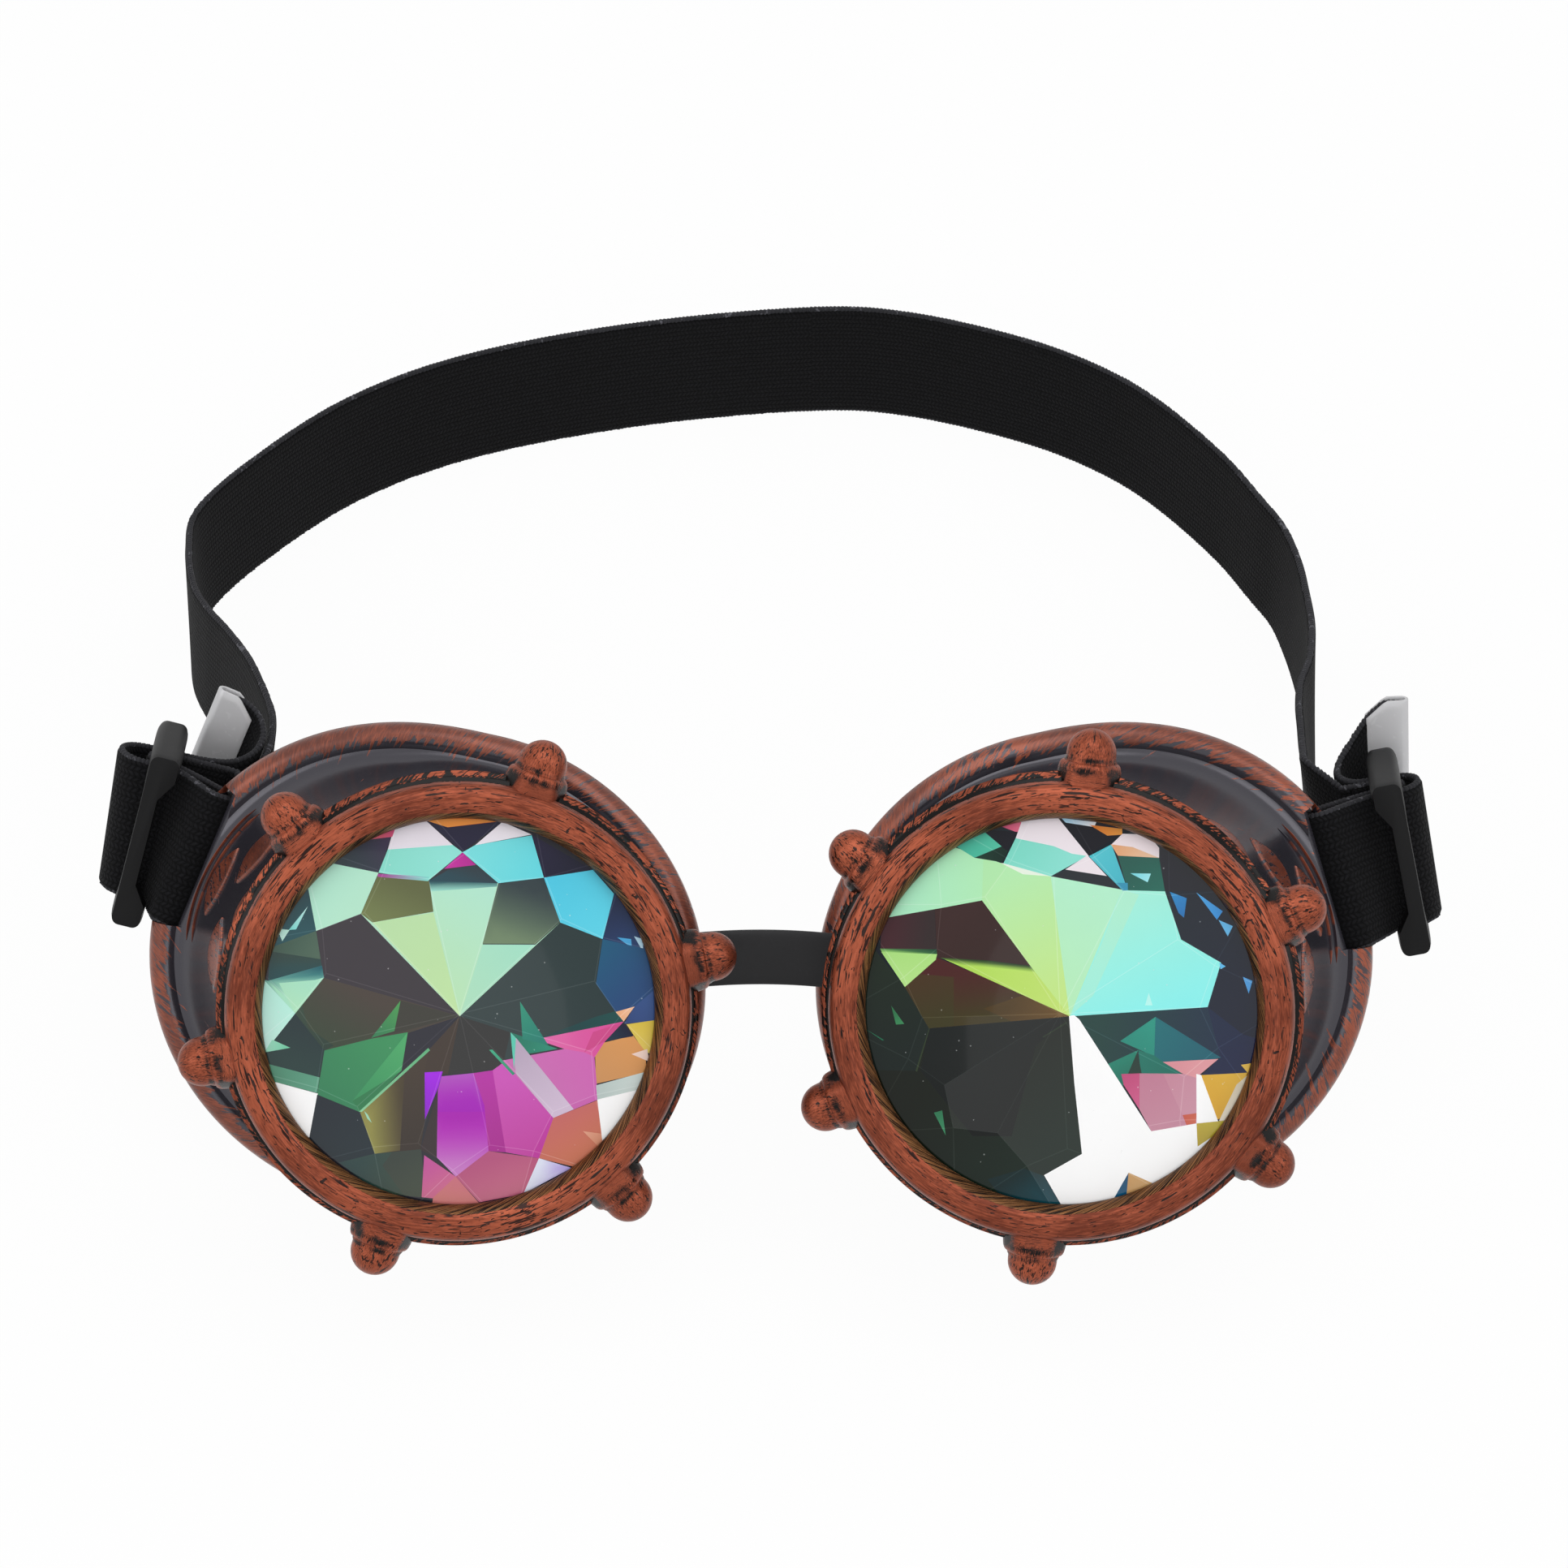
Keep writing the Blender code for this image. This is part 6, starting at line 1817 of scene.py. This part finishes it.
clip = {
    "long": 0.0043,
    "sheet": 0.00045,
    "tall": 0.0182,
    "corner": 0.0026,
    "play": 0.0001,
    "lift": 0.0006,
    "soft": 0.00012,
}


def makeClip(label, side, nickel):
    (before, up), (end, up) = strapEndStations(side)[-2:]
    along = (end - before).normalized()
    across = along.cross(up).normalized()
    up = across.cross(along).normalized()
    half = band["thick"] / 2 + clip["play"] + clip["sheet"] / 2
    outline = [(-clip["long"] * (1 - n / 6), half) for n in range(6)]
    for n in range(13):
        turn = math.pi / 2 - math.pi * n / 12
        outline.append((0.0002 + half * math.cos(turn), half * math.sin(turn)))
    outline += [(-clip["long"] * n / 6, -half) for n in range(1, 7)]
    rows = []
    for x, y in outline:
        base = end + along * x + across * y + up * clip["lift"]
        reach = clip["tall"] / 2 - max(0.0, clip["corner"] - (clip["long"] + x)) * 0.9
        rows.append([base + up * (reach * (k / 8 - 1)) for k in range(17)])
    bm = bmesh.new()
    skin(bm, rows, around=False)
    made = fromBmesh(f"{label}ClipDressed", bm, recalc=False)
    addModifier(made, "SOLIDIFY", thickness=clip["sheet"], offset=0.0, use_even_offset=True)
    addModifier(made, "BEVEL", width=clip["soft"], segments=2, limit_method="ANGLE", angle_limit=math.radians(50))
    applied(made)
    bm = bmesh.new()
    bm.from_mesh(made.data)
    bmesh.ops.recalc_face_normals(bm, faces=bm.faces)
    bm.to_mesh(made.data)
    bm.free()
    shadeBy(made, 40)
    setMaterial(made, nickel)
    return finished(made, f"{label}_cup", "nickel_clip", f"{label}_strap_clip")


# Nose strap: a soft band through both cups, with a thicker stop inside each

noseStrap = {
    "tall": 0.0069,
    "thick": 0.0016,
    "stopTall": 0.0110,
    "stopThick": 0.0030,
    "stopRadius": 0.0226,
    "exitRadius": 0.0300,
    # the stop's rings: distance from its outer end, and shares of its height and thickness
    "stop": ((-0.0022, 0.90, 0.72), (-0.0019, 1.0, 0.95), (-0.0011, 1.0, 1.0), (-0.0002, 1.0, 0.97),
             (0.0, 0.95, 0.85)),
    "rows": (0.0003, 0.003, 0.005),
    "square": 0.42,
    "steps": (28, 16),
}


def makeNoseStrap(label, side, soft):
    # The half on this side, from the stop to the middle of the bridge.
    s = noseStrap
    tall, thick, inner = s["tall"], s["thick"], s["stopRadius"]

    def frameOf(way):
        place = cupFrame(way)
        return place, (place.to_3x3() @ Vector((0, 1, 0))).normalized()

    def spot(radius, way=side):
        return frameOf(way)[0] @ Vector((-way * radius, noseSlot["lift"], -noseDepth()))

    up, otherUp = frameOf(side)[1], frameOf(-side)[1]
    rows = [(spot(inner + out), up, s["stopTall"] * high, s["stopThick"] * deep) for out, high, deep in s["stop"]]
    rows += [(spot(radius), up, tall, thick) for radius in [inner + out for out in s["rows"]] + [s["exitRadius"]]]
    start, finish = spot(s["exitRadius"]), spot(s["exitRadius"], -side)
    tilt = (start - spot(inner)).normalized()
    span = finish - start
    around, along = s["steps"]
    for n in range(1, along // 2 + 1):
        t = n / along
        bow = tilt.y / tilt.x * span.x * t * (1 - t)
        rows.append((start + span * t + Vector((0, bow, 0)), up.lerp(otherUp, t).normalized(), tall, thick))
    rings = []
    for (point, lift, high, deep), across in zip(rows, bandSides([row[:2] for row in rows])):
        rings.append([point + lift * (softPower(math.cos(turn), s["square"]) * high / 2)
                      + across * (softPower(math.sin(turn), s["square"]) * deep / 2) for turn in turns(around)])
    made = skinned(f"{label}NoseStrapDressed", rings, 50, caps=True)
    setMaterial(made, soft)
    hinge = spot(s["exitRadius"])
    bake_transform(made)
    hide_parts("nose_strap")
    return made


# Finishes


def grained(name, grain, scuffs, base, scuffed, rough, bump, deep=0.00003, **shader):
    made, tree, surface = newMaterial(name, **shader)
    dressed = placedGroup(tree, grainGroup, Place=objectPlace(tree), Grain=grain, Scuffs=scuffs, Base=hexColour(base),
                          Scuffed=hexColour(scuffed), Low_Rough=rough[0], High_Rough=rough[1])
    dressSurface(surface, dressed["Color"], dressed["Roughness"], dressed["Height"], bump, deep)
    return made


def coatedGlass():
    made, tree, surface = newMaterial("coatedGlass", Metallic=0.0, Coat_Weight=0.30, Coat_Roughness=0.02,
                                      Specular_IOR_Level=0.10, Coat_IOR=1.45)
    # The colour attribute holds the coating's colours with painted reflections and painted edge highlights.
    colour = attributeNode(tree, "coating", "Color")
    haze = noiseNode(objectPlace(tree), 130.0)
    dressSurface(surface, mixColour(times(haze, 0.04), colour, (0.0, 0.0, 0.0, 1.0)), plus(0.05, times(haze, 0.06)))
    return made


def knittedElastic():
    made, tree, surface = newMaterial("knittedElastic", Sheen_Weight=0.02, Sheen_Roughness=0.6,
                                      Specular_IOR_Level=0.12)
    place = outOf(tree, "ShaderNodeUVMap", uv_map="knit")
    # The paler colour is a painted highlight on the loops' crowns, varied by a random yarn tone.
    knit = placedGroup(tree, knitGroup, Place=place, Along_Pitch=0.60, Across_Pitch=0.74,
                       Dark=hexColour("030304"), Light=hexColour("151518"))
    dressSurface(surface, knit["Color"], minus(0.95, times(knit["Loops"], 0.18)), knit["Height"], 0.7, 0.00018)
    return made


def makeFinishes():
    made = {}
    made["bezel"] = copperMaterial(
        "rubbedCopperBezel", dict(Coat_Weight=0.05, Coat_Roughness=0.22, Specular_IOR_Level=0.12), 0.60, Mottle=0.9,
        Edge_Around=70.0, Edge_Across=0.45, Edge_Slant=0.04, Ragged=1.3, Streaks=0.78, Streak_Around=5.5,
        Streak_Across=2.3, Streak_Slant=0.055, Dashes=0.66, Specks=0.60,
        Copper=hexColour("a3543b"), Deep_Copper=hexColour("642f20"), Black=hexColour("0d0a09"))
    made["cup"] = copperMaterial(
        "rubbedCopperCup", dict(Coat_Weight=0.35, Coat_Roughness=0.24, Specular_IOR_Level=0.5), 0.50, 0.45,
        Mottle=0.3, Edge_Around=46.0, Edge_Across=0.26, Edge_Slant=0.028, Ragged=2.3, Streaks=0.80,
        Streak_Around=52.0, Streak_Across=0.36, Streak_Slant=0.022, Dashes=0.5, Specks=0.45,
        Copper=hexColour("94492f"), Deep_Copper=hexColour("5c2b1e"), Black=hexColour("37353d"))
    made["glass"], made["knit"] = coatedGlass(), knittedElastic()
    made["thread"] = grained("edgeThread", 5200.0, 0.8, "17171a", "5c5c62", (0.7, 0.95), 0.5, 0.00006,
                             Sheen_Weight=0.05, Sheen_Roughness=0.5, Specular_IOR_Level=0.2)
    made["slider"] = grained("sliderBlack", 3800.0, 0.25, "070708", "121214", (0.42, 0.56), 0.25,
                             Specular_IOR_Level=0.18)
    made["soft"] = grained("softBlack", 3000.0, 0.15, "141416", "222226", (0.55, 0.75), 0.2, Specular_IOR_Level=0.4)
    made["seal"] = grained("sealBlack", 3400.0, 0.10, "101012", "1a1a1c", (0.6, 0.8), 0.2, Specular_IOR_Level=0.3)
    made["nickel"] = grained("nickelPlate", 2600.0, 0.5, "c4c4c6", "d2d2d4", (0.34, 0.48), 0.15, Metallic=0.3)
    return made


# The floor, the lights and the camera

studio = {
    "camera": (0.00295, -0.4734, 0.48385),
    "tilt": math.radians(45.0),
    "focal": 111.8,
    "aim": (0.0, -0.01, 0.02),
    "worldLight": 0.50,
    "plain": (1.0, 1.0, 1.0, 1.0),
    "floorColour": (0.86, 0.86, 0.86, 1.0),
    "floorPlain": 0.96,  # how far the floor is plain to camera, mirror and glass rays
    "floorHalf": 4,
    "lamps": (  # name, place, size, watts
        ("top", (0.05, -0.10, 1.15), 1.0, 4.6),
        ("left", (-0.95, -0.55, 0.75), 0.7, 2.2),
        ("right", (0.95, -0.45, 0.75), 0.7, 2.2),
        ("front", (0.0, -1.15, 0.55), 0.6, 1.0),
    ),
}


def emptyTree(holder):
    holder.use_nodes = True
    holder.node_tree.nodes.clear()
    return holder.node_tree


def plainRay(tree):
    # 1 for the rays that see a plain pale ground, from the camera, a mirror or glass, and 0 for others.
    seen = addNode(tree, "ShaderNodeLightPath").outputs
    return larger(seen["Is Camera Ray"], larger(seen["Is Glossy Ray"], seen["Is Transmission Ray"]))


def makeWorld():
    world = bpy.data.worlds.new("studio")
    bpy.context.scene.world = world
    tree, light = emptyTree(world), studio["worldLight"]
    sky = outOf(tree, "ShaderNodeBackground", {
        "Color": studio["plain"], "Strength": plus(light, times(plainRay(tree), 1.0 - light))})
    addNode(tree, "ShaderNodeOutputWorld", {0: sky})


def makeFloor():
    mesh, half = bpy.data.meshes.new("floor"), studio["floorHalf"]
    mesh.from_pydata([(-half, -half, 0), (half, -half, 0), (half, half, 0), (-half, half, 0)], [], [(0, 1, 2, 3)])
    floor = newObject("floor", mesh)
    made = bpy.data.materials.new("paleFloor")
    tree = emptyTree(made)
    shaded = outOf(tree, "ShaderNodeBsdfDiffuse", {"Color": studio["floorColour"]})
    light = outOf(tree, "ShaderNodeEmission", {"Color": studio["plain"], "Strength": 1.0})
    mix = outOf(tree, "ShaderNodeMixShader", {0: times(plainRay(tree), studio["floorPlain"]), 1: shaded, 2: light})
    addNode(tree, "ShaderNodeOutputMaterial", {0: mix})
    setMaterial(floor, made)


def makeLamps():
    for name, place, size, power in studio["lamps"]:
        lamp = bpy.data.lights.new(name, "AREA")
        lamp.shape, lamp.size, lamp.energy = "DISK", size, power
        thing = newObject(name, lamp)
        thing.location = place
        thing.rotation_euler = (Vector(studio["aim"]) - Vector(place)).to_track_quat("-Z", "Y").to_euler()


def makeCamera():
    view = bpy.data.cameras.new("camera")
    view.sensor_width, view.lens = 36.0, studio["focal"]
    thing = newObject("camera", view)
    thing.location = studio["camera"]
    thing.rotation_euler = (studio["tilt"], 0.0, 0.0)
    bpy.context.scene.camera = thing


# Making everything

bpy.context.scene.view_settings.view_transform = "Standard"
makeWorld()
makeFloor()
makeLamps()
makeCamera()
finishes = makeFinishes()
print("studio and finishes ready")
ringTree = makeRingTree()
stitchTree = makeStitchTree()
for label, side in sides.items():
    makeBezel(label, side, finishes["bezel"], ringTree)
    print("bezel", label)
    makeCup(label, side, finishes["cup"])
    print("cup", label)
    makeLens(label, side, finishes["glass"])
    makeSeal(label, side, finishes["seal"])
    makeStrapEnd(label, side, stitchTree, finishes["knit"], finishes["thread"])
    print("strap end", label)
    makeSlider(label, side, finishes["slider"])
    makeClip(label, side, finishes["nickel"])
    makeNoseStrap(label, side, finishes["soft"])
    print("small parts", label)
makeHeadband(stitchTree, finishes["knit"], finishes["thread"])
print("headband")
